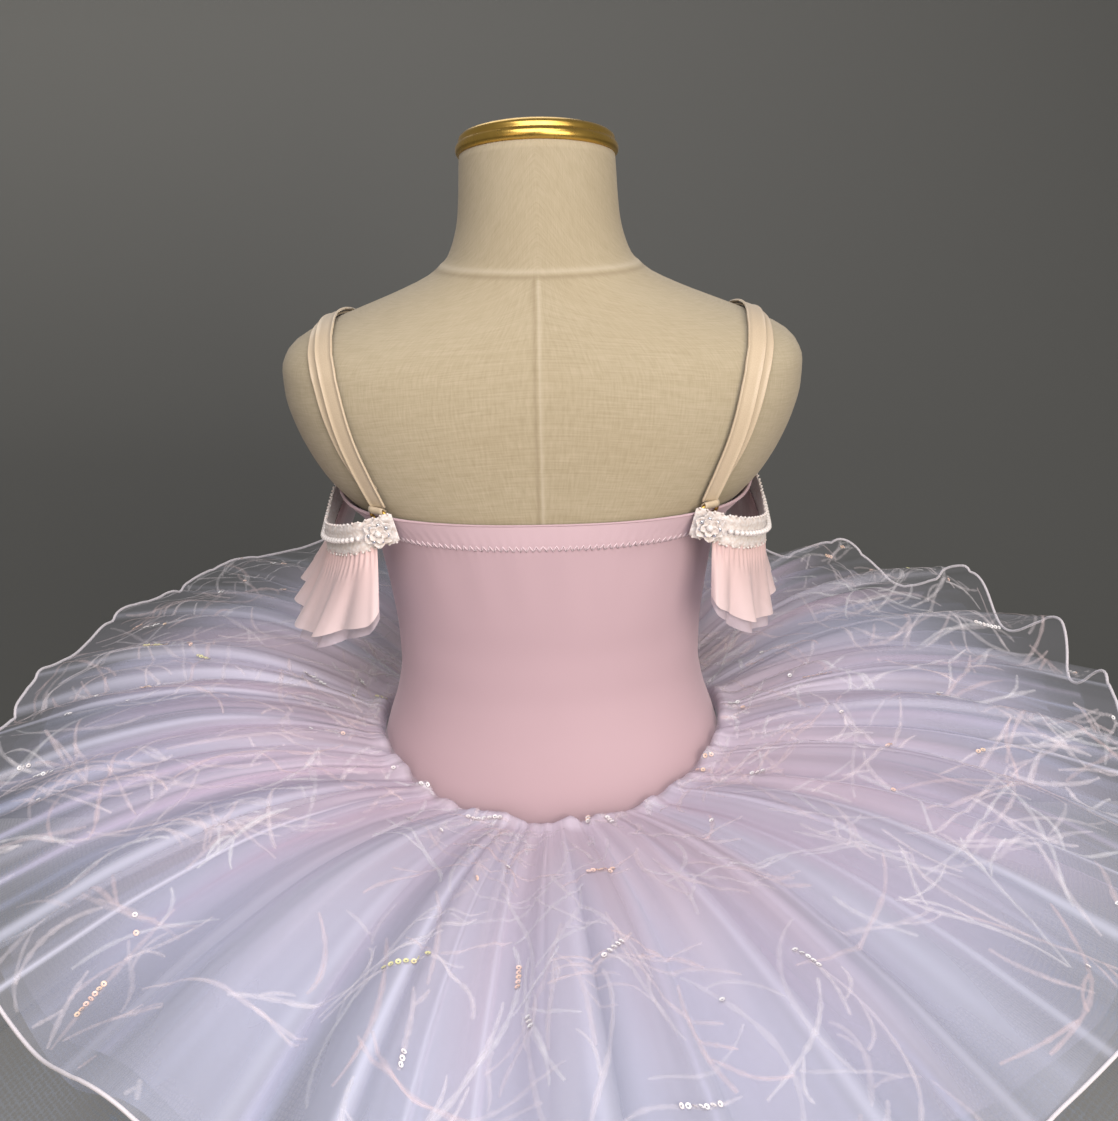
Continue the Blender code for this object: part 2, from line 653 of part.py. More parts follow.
def band_path(share):
    """Middle line of the lace band for shares of its length, back to front."""
    knots = np.array(BAND_ROWS)
    knots[0, 1] = sewn_y(knots[0, 0], knots[0, 2], 1.0)
    knots[-1, 1] = sewn_y(knots[-1, 0], knots[-1, 2], -1.0)
    reach = np.append(0, np.cumsum(np.linalg.norm(np.diff(knots, axis=0), axis=1)))
    rows = np.column_stack([reach / reach[-1], knots])
    names = ("share", *BAND_COLUMNS)
    return np.stack([smooth(rows, names, name, share) for name in BAND_COLUMNS], axis=-1)


def band_frame(share):
    """The band's middle line with its outward and its upward direction."""
    point = band_path(share)
    along = np.gradient(point, axis=0)
    along /= np.linalg.norm(along, axis=-1, keepdims=True)
    up = np.array([0.0, 0.0, 1.0]) - along * along[:, 2:]
    up /= np.linalg.norm(up, axis=-1, keepdims=True)
    return point, np.cross(up, along), up


def make_sleeve(label, side, lace, chiffon):
    flip = np.array([side, 1.0, 1.0])
    share = np.linspace(0, 1, BAND_STEPS + 1)
    point, out, up = band_frame(share)
    scallop = SCALLOP_DEPTH * np.abs(np.sin(math.pi * SCALLOPS * share))
    level = np.stack([-BAND_HEIGHT / 2 - scallop, 0 * share, BAND_HEIGHT / 2 + scallop], axis=1)
    flat = point[:, None, :] + up[:, None, :] * level[..., None]
    wall("sleeve_band_" + label, (flat + out[:, None, :] * BAND_WALL) * flip, flat * flip, lace)

    # The ruffle hangs from the band's lower edge, its waves grow towards the hem.
    share = np.linspace(RUFFLE_START_SHARE, RUFFLE_END_SHARE, RUFFLE_STEPS + 1)
    point, out, up = band_frame(share)
    part = (share - RUFFLE_START_SHARE) / (RUFFLE_END_SHARE - RUFFLE_START_SHARE)
    drop = np.array(RUFFLE_SHARES)[None, :]
    wave = np.sin(2 * math.pi * RUFFLE_WAVES * part)[:, None] * drop ** RUFFLE_WAVE_GROWTH
    outward = RUFFLE_FLARE[label] * drop ** RUFFLE_FLARE_GROWTH + RUFFLE_WAVE_HEIGHT * wave
    short = RUFFLE_SHORT_START * np.clip(1 - part / RUFFLE_START_REACH, 0, 1) ** 2
    flat_out = out * (1, 1, 0)
    flat_out /= np.linalg.norm(flat_out, axis=-1, keepdims=True)
    top = point - up * (BAND_HEIGHT / 2 + SCALLOP_DEPTH + SEAT_GAP)
    grid = top[:, None, :] + flat_out[:, None, :] * outward[..., None]
    grid[..., 2] -= RUFFLE_LENGTH * (1 - short)[:, None] * drop
    thick = out[:, None, :] * RUFFLE_WALL
    wall("sleeve_ruffle_" + label, (grid + thick) * flip, grid * flip, chiffon)


def make_rosette(label, side, lace):
    point, out, up = band_frame(np.linspace(0, 2 * ROSETTE_SHARE, 3))
    middle, forward, upward = point[1], out[1], up[1]
    sideways = np.cross(upward, forward)
    turn = np.linspace(0, 2 * math.pi, ROSETTE_SIDES, endpoint=False)
    petal = np.cos(ROSETTE_PETALS * turn)
    rings = []
    for share, height in ROSETTE_ROWS:
        radius = ROSETTE_RADIUS * share * (1 + ROSETTE_PETAL_DEPTH * share * petal)
        ring = middle + forward * (BAND_WALL + ROSETTE_LIFT + height)
        ring = ring + (radius * np.cos(turn))[:, None] * sideways
        rings.append(ring + (radius * np.sin(turn))[:, None] * upward)
    stacked_rings("rosette_" + label, np.array(rings) * (side, 1.0, 1.0), lace)


def main():
    clear_scene()
    linen = material("linen", (0.560, 0.468, 0.305), 0.85)
    gilt = material("gilt", (0.760, 0.540, 0.180), 0.25, 1.0)
    painted = material("painted_steel", (0.550, 0.540, 0.520), 0.45)
    knit = material("pink_knit", (0.680, 0.420, 0.440), 0.60)
    elastic = material("nude_elastic", (0.720, 0.560, 0.430), 0.45)
    lace = material("ivory_lace", (0.820, 0.760, 0.690), 0.80)
    chiffon = material("peach_chiffon", (0.850, 0.620, 0.580), 0.70)
    cloths = {
        "overskirt": material("embroidered_tulle", (0.640, 0.600, 0.720), 0.80),
        "tulle_pink": material("pink_tulle", (0.700, 0.460, 0.520), 0.80),
        "tulle_lilac": material("lilac_tulle", (0.560, 0.540, 0.760), 0.80),
        "net_underskirt": material("grey_net", (0.600, 0.620, 0.700), 0.80),
    }
    make_form(linen, gilt, painted)
    make_bodice(knit)
    make_skirt(cloths)
    for label, side in (("left", 1.0), ("right", -1.0)):
        make_strap(label, side, elastic, gilt)
        make_ring(label, side, gilt)
        make_sleeve(label, side, lace, chiffon)
        make_rosette(label, side, lace)


main()
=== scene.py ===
import math

import bmesh
import bpy
import numpy as np
from mathutils import Matrix


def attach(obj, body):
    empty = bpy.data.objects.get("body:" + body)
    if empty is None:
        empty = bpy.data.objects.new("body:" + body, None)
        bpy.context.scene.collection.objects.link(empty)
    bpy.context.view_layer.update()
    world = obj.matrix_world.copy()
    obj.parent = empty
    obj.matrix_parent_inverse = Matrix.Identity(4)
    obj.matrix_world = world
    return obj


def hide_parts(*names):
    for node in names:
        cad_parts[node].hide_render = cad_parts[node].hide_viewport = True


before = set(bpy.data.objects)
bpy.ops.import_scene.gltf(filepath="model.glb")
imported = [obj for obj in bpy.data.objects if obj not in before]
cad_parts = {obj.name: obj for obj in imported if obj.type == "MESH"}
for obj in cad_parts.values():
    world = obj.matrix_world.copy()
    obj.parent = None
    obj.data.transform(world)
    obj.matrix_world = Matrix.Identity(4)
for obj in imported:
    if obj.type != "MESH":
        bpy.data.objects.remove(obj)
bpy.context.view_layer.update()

# Everything is in metres. The dress front faces -Y and the wearer's left is +X.
# Angles round the figure start at the wearer's left (+X); 90 degrees is the middle of the back.


def linear(hexColour):
    # sRGB hex to the linear colour that the shaders take
    parts = [int(hexColour[i:i + 2], 16) / 255 for i in (1, 3, 5)]
    return [c / 12.92 if c <= 0.04045 else ((c + 0.055) / 1.055) ** 2.4 for c in parts] + [1.0]


def addNode(tree, kind, values=None, links=None, **settings):
    # one node with its settings, its plain values and its incoming links
    node = tree.nodes.new(kind)
    for key, value in settings.items():
        setattr(node, key, value)
    for key, value in (values or {}).items():
        node.inputs[key].default_value = value
    for key, socket in (links or {}).items():
        tree.links.new(socket, node.inputs[key])
    return node


def newMaterial(name, values, colour=None):
    # a material with one Principled shader; values and the plain colour are set on its own sockets
    mat = bpy.data.materials.new(name)
    mat.use_nodes = True
    tree = mat.node_tree
    shader = tree.nodes["Principled BSDF"]
    for key, value in values.items():
        shader.inputs[key].default_value = value
    if colour:
        shader.inputs["Base Color"].default_value = linear(colour)
    return mat, tree, shader


def smooth(table, column, at):
    # reads one column of a table between its rows, on a cubic with no overshoot
    x = np.array([row[0] for row in table], float)
    y = np.array([row[column] for row in table], float)
    at = np.clip(np.asarray(at, float), x[0], x[-1])
    step = np.diff(x)
    slope = np.diff(y) / step
    tangent = np.zeros(len(x))
    same = slope[1:] * slope[:-1] > 0
    left, right = slope[:-1][same], slope[1:][same]
    tangent[1:-1][same] = 2 * left * right / (left + right)
    tangent[0], tangent[-1] = slope[0], slope[-1]
    i = np.clip(np.searchsorted(x, at, side="right") - 1, 0, len(step) - 1)
    t = (at - x[i]) / step[i]
    keep = (1 + 2 * t) * (1 - t) ** 2 * y[i] + t * t * (3 - 2 * t) * y[i + 1]
    bend = t * (1 - t) ** 2 * tangent[i] - t * t * (1 - t) * tangent[i + 1]
    return keep + step[i] * bend


def unit(vectors):
    # the same directions, each at length 1
    return vectors / np.maximum(np.linalg.norm(vectors, axis=-1, keepdims=True), 1e-12)


def ease(value):
    # smoothstep from 0 to 1
    t = np.clip(value, 0, 1)
    return t * t * (3 - 2 * t)


def newObject(name, data):
    # an object at the origin, linked to the scene
    piece = bpy.data.objects.new(name, data)
    bpy.context.scene.collection.objects.link(piece)
    return piece


def bell(value, middle, width):
    # a smooth hump: 1 at its middle and about a third this far from it
    return np.exp(-((value - middle) / width) ** 2)


def circle(sides):
    # the angles of points spread evenly round a circle
    return np.linspace(0, 2 * math.pi, sides, endpoint=False)


def runLengths(points, axis=0):
    # the length along a row of points, from 0 at its first one
    step = np.diff(points, axis=axis, prepend=np.take(points, [0], axis))
    return np.cumsum(np.linalg.norm(step, axis=-1), axis=axis)


def joined(*parts):
    # broadcasts the parts to one shape and makes each the coordinate of a point
    return np.stack(np.broadcast_arrays(*parts), axis=-1)


def quadFaces(rows, cols, closedRows=False, closedCols=False):
    # the corners of each quad of a grid whose points are numbered row by row
    i = np.arange(rows if closedRows else rows - 1)[:, None]
    k = np.arange(cols if closedCols else cols - 1)[None, :]
    j, m = (i + 1) % rows, (k + 1) % cols
    return np.stack([i * cols + k, j * cols + k, j * cols + m, i * cols + m], axis=-1).reshape(-1, 4)


def repeated(faces, count, size):
    # the same faces for each of many equal shapes that have this many points each
    return (faces[None] + np.arange(count)[:, None, None] * size).reshape(-1, 4)


def meshObject(name, points, faces, mat, uv=None, attributes=None):
    # faces is an (n, 3) or (n, 4) array; uv has one row for each face corner
    mesh = bpy.data.meshes.new(name)
    count, sides = faces.shape
    mesh.vertices.add(len(points))
    mesh.vertices.foreach_set("co", np.ascontiguousarray(points, np.float32).ravel())
    mesh.loops.add(count * sides)
    mesh.loops.foreach_set("vertex_index", np.ascontiguousarray(faces, np.int32).ravel())
    mesh.polygons.add(count)
    mesh.polygons.foreach_set("loop_start", np.arange(0, count * sides, sides, dtype=np.int32))
    if uv is not None:
        layer = mesh.uv_layers.new(name="clothPlan")
        layer.data.foreach_set("uv", np.ascontiguousarray(uv, np.float32).ravel())
    for key, values in (attributes or {}).items():
        data = mesh.attributes.new(key, "FLOAT", "POINT")
        data.data.foreach_set("value", np.ascontiguousarray(values, np.float32).ravel())
    mesh.update(calc_edges=True)
    mesh.validate()
    mesh.shade_smooth()
    mesh.materials.append(mat)
    return newObject(name, mesh)


def sheetMesh(name, grid, plan, mat, closed=False, flip=False, attributes=None, weld=False):
    # grid (along, across, 3) joined into quads; plan (along, across, 2) is its place in the flat cloth.
    # A closed grid's last row meets its first, and its plan has one row more; weld joins equal points
    rows, cols = grid.shape[:2]
    corners = quadFaces(rows, cols, closedRows=closed)
    planIndex = quadFaces(rows + 1 if closed else rows, cols)
    if flip:
        corners, planIndex = corners[..., ::-1], planIndex[..., ::-1]
    flat = plan.reshape(-1, 2)[planIndex.reshape(-1)]
    piece = meshObject(name, grid.reshape(-1, 3), corners, mat, flat, attributes)
    if weld:
        work = bmesh.new()
        work.from_mesh(piece.data)
        bmesh.ops.remove_doubles(work, verts=work.verts, dist=1e-6)
        work.to_mesh(piece.data)
        work.free()
        piece.data.shade_smooth()
    return piece


def gridNormals(grid, closed=False):
    # the direction of each grid point's surface, from its neighbours along and across
    if closed:
        along = np.roll(grid, -1, axis=0) - np.roll(grid, 1, axis=0)
    else:
        along = np.gradient(grid, axis=0)
    return unit(np.cross(along, np.gradient(grid, axis=1)))


def readGrid(grid, u, v, closed=True):
    # bilinear value of a grid at fractional rows u and columns v
    rows, cols = grid.shape[:2]
    i = np.floor(u).astype(int)
    k = np.clip(np.floor(v).astype(int), 0, cols - 2)
    s, t = (u - i)[..., None], (v - k)[..., None]
    first = i % rows if closed else np.clip(i, 0, rows - 2)
    second = (first + 1) % rows
    low = grid[first, k] * (1 - s) + grid[second, k] * s
    high = grid[first, k + 1] * (1 - s) + grid[second, k + 1] * s
    return low * (1 - t) + high * t


def sweep(paths, normals, section, closed=False):
    # carries a closed section (sides, 2: across and up) along many paths (n, steps, 3) and gives the
    # points and quads of all the tubes; an open tube with four sides also gets a quad at each end
    along = np.roll(paths, -1, axis=1) - np.roll(paths, 1, axis=1) if closed else np.gradient(paths, axis=1)
    along = unit(along)
    across = unit(np.cross(along, normals))
    up = np.cross(across, along)
    ring = paths[:, :, None, :] + section[None, None, :, :1] * across[:, :, None, :]
    ring = ring + section[None, None, :, 1:] * up[:, :, None, :]
    count, steps, sides = ring.shape[:3]
    quads = quadFaces(steps, sides, closedRows=closed, closedCols=True)
    if not closed and sides == 4:
        start = np.array([[0, 1, 2, 3]])
        end = (steps - 1) * sides + np.array([[3, 2, 1, 0]])
        quads = np.concatenate([quads, start, end])
    return ring.reshape(-1, 3), repeated(quads, count, steps * sides)


def tubePiece(name, path, radius, mat, sides=10, closed=False, guide=(0.21, 0.13, 0.97)):
    # one round cord or wire; each open end is closed by a fan of triangles
    path = np.asarray(path, float)
    turn = -circle(sides)
    section = radius * np.stack([np.cos(turn), np.sin(turn)], axis=-1)
    points, quads = sweep(path[None], np.broadcast_to(np.array(guide), path.shape)[None], section, closed)
    if closed:
        return meshObject(name, points, quads, mat)
    tips = points.reshape(len(path), sides, 3).mean(axis=1)[[0, -1]]
    k = np.arange(sides)
    m = (k + 1) % sides
    base = (len(path) - 1) * sides
    first = joined(k, m, len(points))
    last = joined(base + m, base + k, len(points) + 1)
    faces = quads.tolist() + first.tolist() + last.tolist()
    mesh = bpy.data.meshes.new(name)
    mesh.from_pydata(np.concatenate([points, tips]).tolist(), [], faces)
    mesh.shade_smooth()
    mesh.materials.append(mat)
    return newObject(name, mesh)


def solidify(piece, thickness, offset=-1.0):
    # gives a single surface its cloth's thickness
    shell = piece.modifiers.new("clothThickness", "SOLIDIFY")
    shell.thickness = thickness
    shell.offset = offset
    shell.use_even_offset = True


def lathe(name, profile, mat, sides=128, place=None):
    # turns (radius, height) rows round Z, from the bottom middle to the top middle
    turn = circle(sides)[:, None]
    radius, height = np.array(profile).T[:, None, :]
    grid = joined(radius * np.cos(turn), radius * np.sin(turn), height)
    if place is not None:
        grid = grid @ np.array(place.to_3x3()).T + np.array(place.translation)
    # the plan's width is a plain one, because gilt and paint don't read it
    plan = joined(np.linspace(0, 2 * math.pi, sides + 1)[:, None] * 0.05, height)
    return sheetMesh(name, grid, plan, mat, closed=True)


def finish(piece, slot, *nodes):
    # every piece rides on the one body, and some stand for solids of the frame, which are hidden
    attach(piece, "root")
    if nodes:
        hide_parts(*nodes)


view = {
    "place": (-0.01777, 0.75979, 1.02732),
    "forward": (0.013185, -0.938724, -0.344417),
    "rollDeg": -1.33,
    "focalPixels": 1300.0,
    "widthPixels": 1118.0,
    "wallDistance": 0.95,
    "wallHeight": 3.2,
    "roomReach": 6.0,
    "floorLevel": -0.0004,  # just clear of the stand's underside
    "wallColour": "#656765",
    "wallLitColour": "#90928f",
    "floorColour": "#a9a8a5",
    "roomColour": "#cfcbc6",
    "roomStrength": 0.36,
    "lights": (  # name, place, what it points at, size, power, colour
        ("windowLight", (-1.05, 1.85, 1.35), (0, 0.2, 0.65), (1.3, 1.3), 26, "#fff6ee"),
        ("topLight", (0.0, 0.72, 1.5), (0, 0.5, 0.6), (0.8, 0.8), 8.5, "#f4f3ff"),
        ("fillLight", (0.9, 1.8, 1.2), (0.1, 0.15, 0.75), (0.9, 0.9), 2.2, "#ffe6cc"),
        ("frontLight", (0.3, -1.7, 2.2), (0, 0, 0.75), (1.2, 1.2), 7, "#ffffff"),
    ),
}


def aim(piece, place, right, up, back):
    # sets where an object is and which way its three axes point
    matrix = np.eye(4)
    matrix[:3, :3] = np.stack([right, up, back], axis=1)
    matrix[:3, 3] = place
    piece.matrix_world = Matrix(matrix.tolist())


def makeCamera():
    # looks along its forward direction, rolled a little to one side
    data = bpy.data.cameras.new("camera")
    data.sensor_fit = "HORIZONTAL"
    data.sensor_width = 36.0
    data.lens = 36.0 * view["focalPixels"] / view["widthPixels"]
    data.clip_start = 0.02
    camera = newObject("camera", data)
    forward = unit(np.array(view["forward"]))
    right = unit(np.cross(forward, [0, 0, 1]))
    up = np.cross(right, forward)
    cos, sin = math.cos(math.radians(view["rollDeg"])), math.sin(math.radians(view["rollDeg"]))
    aim(camera, view["place"], cos * right + sin * up, cos * up - sin * right, -forward)
    bpy.context.scene.camera = camera


def areaLight(name, place, target, size, power, colour):
    # a rectangle that shines at its target
    data = bpy.data.lights.new(name, "AREA")
    data.shape = "RECTANGLE"
    data.size, data.size_y = size
    data.energy = power
    data.color = linear(colour)[:3]
    back = unit(np.array(place, float) - np.array(target, float))
    right = unit(np.cross([0, 0, 1], back))
    aim(newObject(name, data), place, right, np.cross(back, right), back)


def makeStage():
    # the room's light, and a floor and a wall that aren't part of the object
    world = bpy.data.worlds.new("softRoom")
    bpy.context.scene.world = world
    world.use_nodes = True
    world.node_tree.nodes["Background"].inputs["Color"].default_value = linear(view["roomColour"])
    world.node_tree.nodes["Background"].inputs["Strength"].default_value = view["roomStrength"]
    for light in view["lights"]:
        areaLight(*light)

    floorMat = newMaterial("paleFloor", {"Roughness": 0.8}, view["floorColour"])[0]
    # flat wall paint with a painted pool of light: paler towards the top at the wearer's left
    wallMat, tree, shader = newMaterial("paintedWall", {"Roughness": 0.9})
    place = addNode(tree, "ShaderNodeSeparateXYZ", links={
        "Vector": addNode(tree, "ShaderNodeTexCoord").outputs["Object"]})
    high = addNode(tree, "ShaderNodeMapRange", {"From Min": 0.55, "From Max": 1.1, "To Min": 0.35},
                   {"Value": place.outputs["Z"]})
    left = addNode(tree, "ShaderNodeMapRange", {"From Min": -0.8, "From Max": 0.75},
                   {"Value": place.outputs["X"]})
    share = addNode(tree, "ShaderNodeMath", links={0: high.outputs[0], 1: left.outputs[0]},
                    operation="MULTIPLY")
    # the wall's paint is mixed towards a paler grey as painted light
    paint = addNode(tree, "ShaderNodeMix", {6: linear(view["wallColour"]), 7: linear(view["wallLitColour"])},
                    {0: share.outputs[0]}, data_type="RGBA")
    tree.links.new(paint.outputs[2], shader.inputs["Base Color"])
    # seen from behind, the wall is clear, so the dress can be viewed from its front
    behind = addNode(tree, "ShaderNodeNewGeometry").outputs["Backfacing"]
    clear = addNode(tree, "ShaderNodeBsdfTransparent")
    side = addNode(tree, "ShaderNodeMixShader", links={0: behind, 1: shader.outputs[0], 2: clear.outputs[0]})
    tree.links.new(side.outputs[0], tree.nodes["Material Output"].inputs["Surface"])
    reach = view["roomReach"]
    x, y = np.array([(-reach, -reach), (reach, -reach), (reach, reach), (-reach, reach)]).T
    floor = meshObject("floor", joined(x, y, view["floorLevel"]), np.array([[0, 1, 2, 3]]), floorMat)
    z = np.where(y > 0, view["wallHeight"], 0)
    wall = meshObject("wall", joined(x, -view["wallDistance"], z), np.array([[3, 2, 1, 0]]), wallMat)
    wall.visible_shadow = wall.visible_diffuse = wall.visible_glossy = False


makeCamera()
makeStage()
bpy.context.scene.view_settings.view_transform = "Standard"
cycles = bpy.context.scene.cycles
cycles.transparent_max_bounces = 24  # sheer layers lie many deep
cycles.max_bounces = 4
cycles.diffuse_bounces = 1
cycles.use_light_tree = False  # slower than it is worth with four lights
print("camera, light and floor are set")

form = {
    "rows": (  # z, half width, back y, front y, power of the rounded section
        (0.500, 0.1040, 0.0780, -0.0760, 2.20),
        (0.506, 0.1080, 0.0815, -0.0795, 2.20),
        (0.525, 0.1120, 0.0855, -0.0835, 2.20),
        (0.560, 0.1140, 0.0880, -0.0860, 2.20),
        (0.595, 0.1130, 0.0875, -0.0845, 2.20),
        (0.620, 0.1090, 0.0850, -0.0825, 2.20),
        (0.645, 0.1025, 0.0805, -0.0795, 2.20),
        (0.668, 0.0950, 0.0760, -0.0768, 2.20),
        (0.690, 0.0915, 0.0735, -0.0755, 2.20),
        (0.712, 0.0920, 0.0735, -0.0762, 2.20),
        (0.735, 0.0945, 0.0755, -0.0780, 2.20),
        (0.758, 0.0980, 0.0775, -0.0800, 2.20),
        (0.775, 0.1015, 0.0788, -0.0815, 2.20),
        (0.788, 0.1080, 0.0796, -0.0820, 2.25),
        (0.800, 0.1200, 0.0801, -0.0820, 2.30),
        (0.812, 0.1305, 0.0804, -0.0812, 2.35),
        (0.828, 0.1395, 0.0805, -0.0795, 2.45),
        (0.846, 0.1465, 0.0798, -0.0765, 2.55),
        (0.862, 0.1502, 0.0780, -0.0728, 2.60),
        (0.876, 0.1508, 0.0748, -0.0685, 2.60),
        (0.887, 0.1465, 0.0705, -0.0640, 2.50),
        (0.895, 0.1355, 0.0660, -0.0600, 2.40),
        (0.902, 0.1190, 0.0615, -0.0565, 2.30),
        (0.909, 0.1010, 0.0570, -0.0535, 2.20),
        (0.917, 0.0810, 0.0530, -0.0510, 2.10),
        (0.926, 0.0630, 0.0495, -0.0490, 2.05),
        (0.938, 0.0515, 0.0470, -0.0480, 2.00),
        (0.958, 0.0460, 0.0445, -0.0470, 2.00),
        (0.989, 0.0437, 0.0422, -0.0422, 2.00),
    ),
    "tiltDeg": 15.0,  # the neck's top leans forward
    "tiltStart": 0.926,
    "neckSeam": 0.931,
    "levels": 130,
    "sides": 160,
    "girthScale": 0.0987,  # metres of linen round the form for each radian
    "endShrink": 0.02,  # the top and the underside are drawn in to this share of their width
    "seamHeight": 0.0003,
    "seamReach": 0.004,  # the cloth is drawn finely this far from the neck's seam
    "neckWelt": 0.0013,  # widths of the seams' welts and of the painted shade beside them
    "backWelt": 0.0012,
    "neckShade": 0.0010,
    "backShade": 0.0011,
    "shadeGap": 0.0022,
    "seamSteps": (0.0, 0.002, 0.005, 0.009, 0.014, 0.022, 0.034),  # radians from a seam to its extra columns
}


def formSize(z):
    # half width, half depth, middle y and power of the form's section at z
    back, front = smooth(form["rows"], 2, z), smooth(form["rows"], 3, z)
    return smooth(form["rows"], 1, z), (back - front) / 2, (back + front) / 2, smooth(form["rows"], 4, z)


def formValue(x, y, z):
    # 0 on the form's surface, less inside it
    wide, deep, middle, power = formSize(z)
    return np.abs(x / wide) ** power + np.abs((y - middle) / deep) ** power - 1


def formPoint(angle, z):
    # point of the rounded section |x/a|^p + |y/b|^p = 1 at an angle, 90 degrees at the back
    wide, deep, middle, power = formSize(z)
    cos, sin = np.cos(angle), np.sin(angle)
    x = wide * np.sign(cos) * np.abs(cos) ** (2 / power)
    y = middle + deep * np.sign(sin) * np.abs(sin) ** (2 / power)
    return joined(x, y, z)


def formNormal(points):
    # the way that the form's value grows fastest, from small steps along each axis
    x, y, z = points[..., 0], points[..., 1], points[..., 2]
    d = 0.0002
    return unit(np.stack([
        formValue(x + d, y, z) - formValue(x - d, y, z),
        formValue(x, y + d, z) - formValue(x, y - d, z),
        formValue(x, y, z + d) - formValue(x, y, z - d),
    ], axis=-1))


def formTilted(points):
    # leans the levels of the neck forward, more towards its top
    share = (points[..., 2] - form["tiltStart"]) / (form["rows"][-1][0] - form["tiltStart"])
    points = points.copy()
    points[..., 2] += np.clip(share, 0, 1) * points[..., 1] * math.tan(math.radians(form["tiltDeg"]))
    return points


def linenMaterial():
    # unbleached linen canvas: plain weave with uneven slubs, matt;
    # yarns of 0.5 mm are drawn 0.8 mm wide, and their slubs are about 10 mm long
    mat, tree, shader = newMaterial("linenCanvas", {
        "Roughness": 0.9, "Sheen Weight": 0.12, "Sheen Roughness": 0.6})
    plan = addNode(tree, "ShaderNodeUVMap", uv_map="clothPlan").outputs["UV"]
    threads = []
    for scale, offset in (((1300, 110, 1), 0.0), ((90, 1300, 1), 7.3)):  # warp, weft
        mapped = addNode(tree, "ShaderNodeMapping", {"Scale": scale}, {"Vector": plan})
        noise = addNode(tree, "ShaderNodeTexNoise", {
            "Scale": 1.0, "Detail": 2.0, "Roughness": 0.6, "W": offset,
        }, {"Vector": mapped.outputs["Vector"]}, noise_dimensions="4D")
        threads.append(noise.outputs["Fac"])
    both = addNode(tree, "ShaderNodeMath", links={0: threads[0], 1: threads[1]}, operation="ADD")
    blotch = addNode(tree, "ShaderNodeTexNoise", {"Scale": 9.0, "Detail": 3.0}, {"Vector": plan})
    ramp = addNode(tree, "ShaderNodeMapRange", {"From Min": 0.55, "From Max": 1.45},
                   {"Value": both.outputs[0]})
    colour = addNode(tree, "ShaderNodeMix", {6: linear("#ac9f80"), 7: linear("#c7ba9e")},
                     {0: ramp.outputs[0]}, data_type="RGBA")  # the slubs' uneven yarn
    faint = addNode(tree, "ShaderNodeMath", {1: 0.5}, {0: blotch.outputs["Fac"]}, operation="MULTIPLY")
    tone = addNode(tree, "ShaderNodeMix", {7: linear("#d8c9ac")}, {0: faint.outputs[0], 6: colour.outputs[2]},
                   data_type="RGBA", blend_type="MULTIPLY")
    # the seams' painted shade and painted highlight: darker beside each welt, paler along its top
    seam = addNode(tree, "ShaderNodeAttribute", attribute_name="seamShadeAndHighlight")
    dark = addNode(tree, "ShaderNodeMapRange", {"To Max": 0.42}, {"Value": seam.outputs["Fac"]})
    pale = addNode(tree, "ShaderNodeMapRange", {"From Max": -0.8, "To Max": 0.25},
                   {"Value": seam.outputs["Fac"]})
    shaded = addNode(tree, "ShaderNodeMix", {7: linear("#8b7a5c")}, {0: dark.outputs[0], 6: tone.outputs[2]},
                     data_type="RGBA")  # painted shade in a band beside a seam
    seamHighlight = addNode(tree, "ShaderNodeMix", {7: linear("#e6dac2")}, {0: pale.outputs[0], 6: shaded.outputs[2]},
                   data_type="RGBA")  # painted highlight along the top of its welt
    tree.links.new(seamHighlight.outputs[2], shader.inputs["Base Color"])
    bump = addNode(tree, "ShaderNodeBump", {"Strength": 0.25, "Distance": 0.0004},
                   {"Height": both.outputs[0]})  # threads stand up a little
    tree.links.new(bump.outputs["Normal"], shader.inputs["Normal"])
    return mat


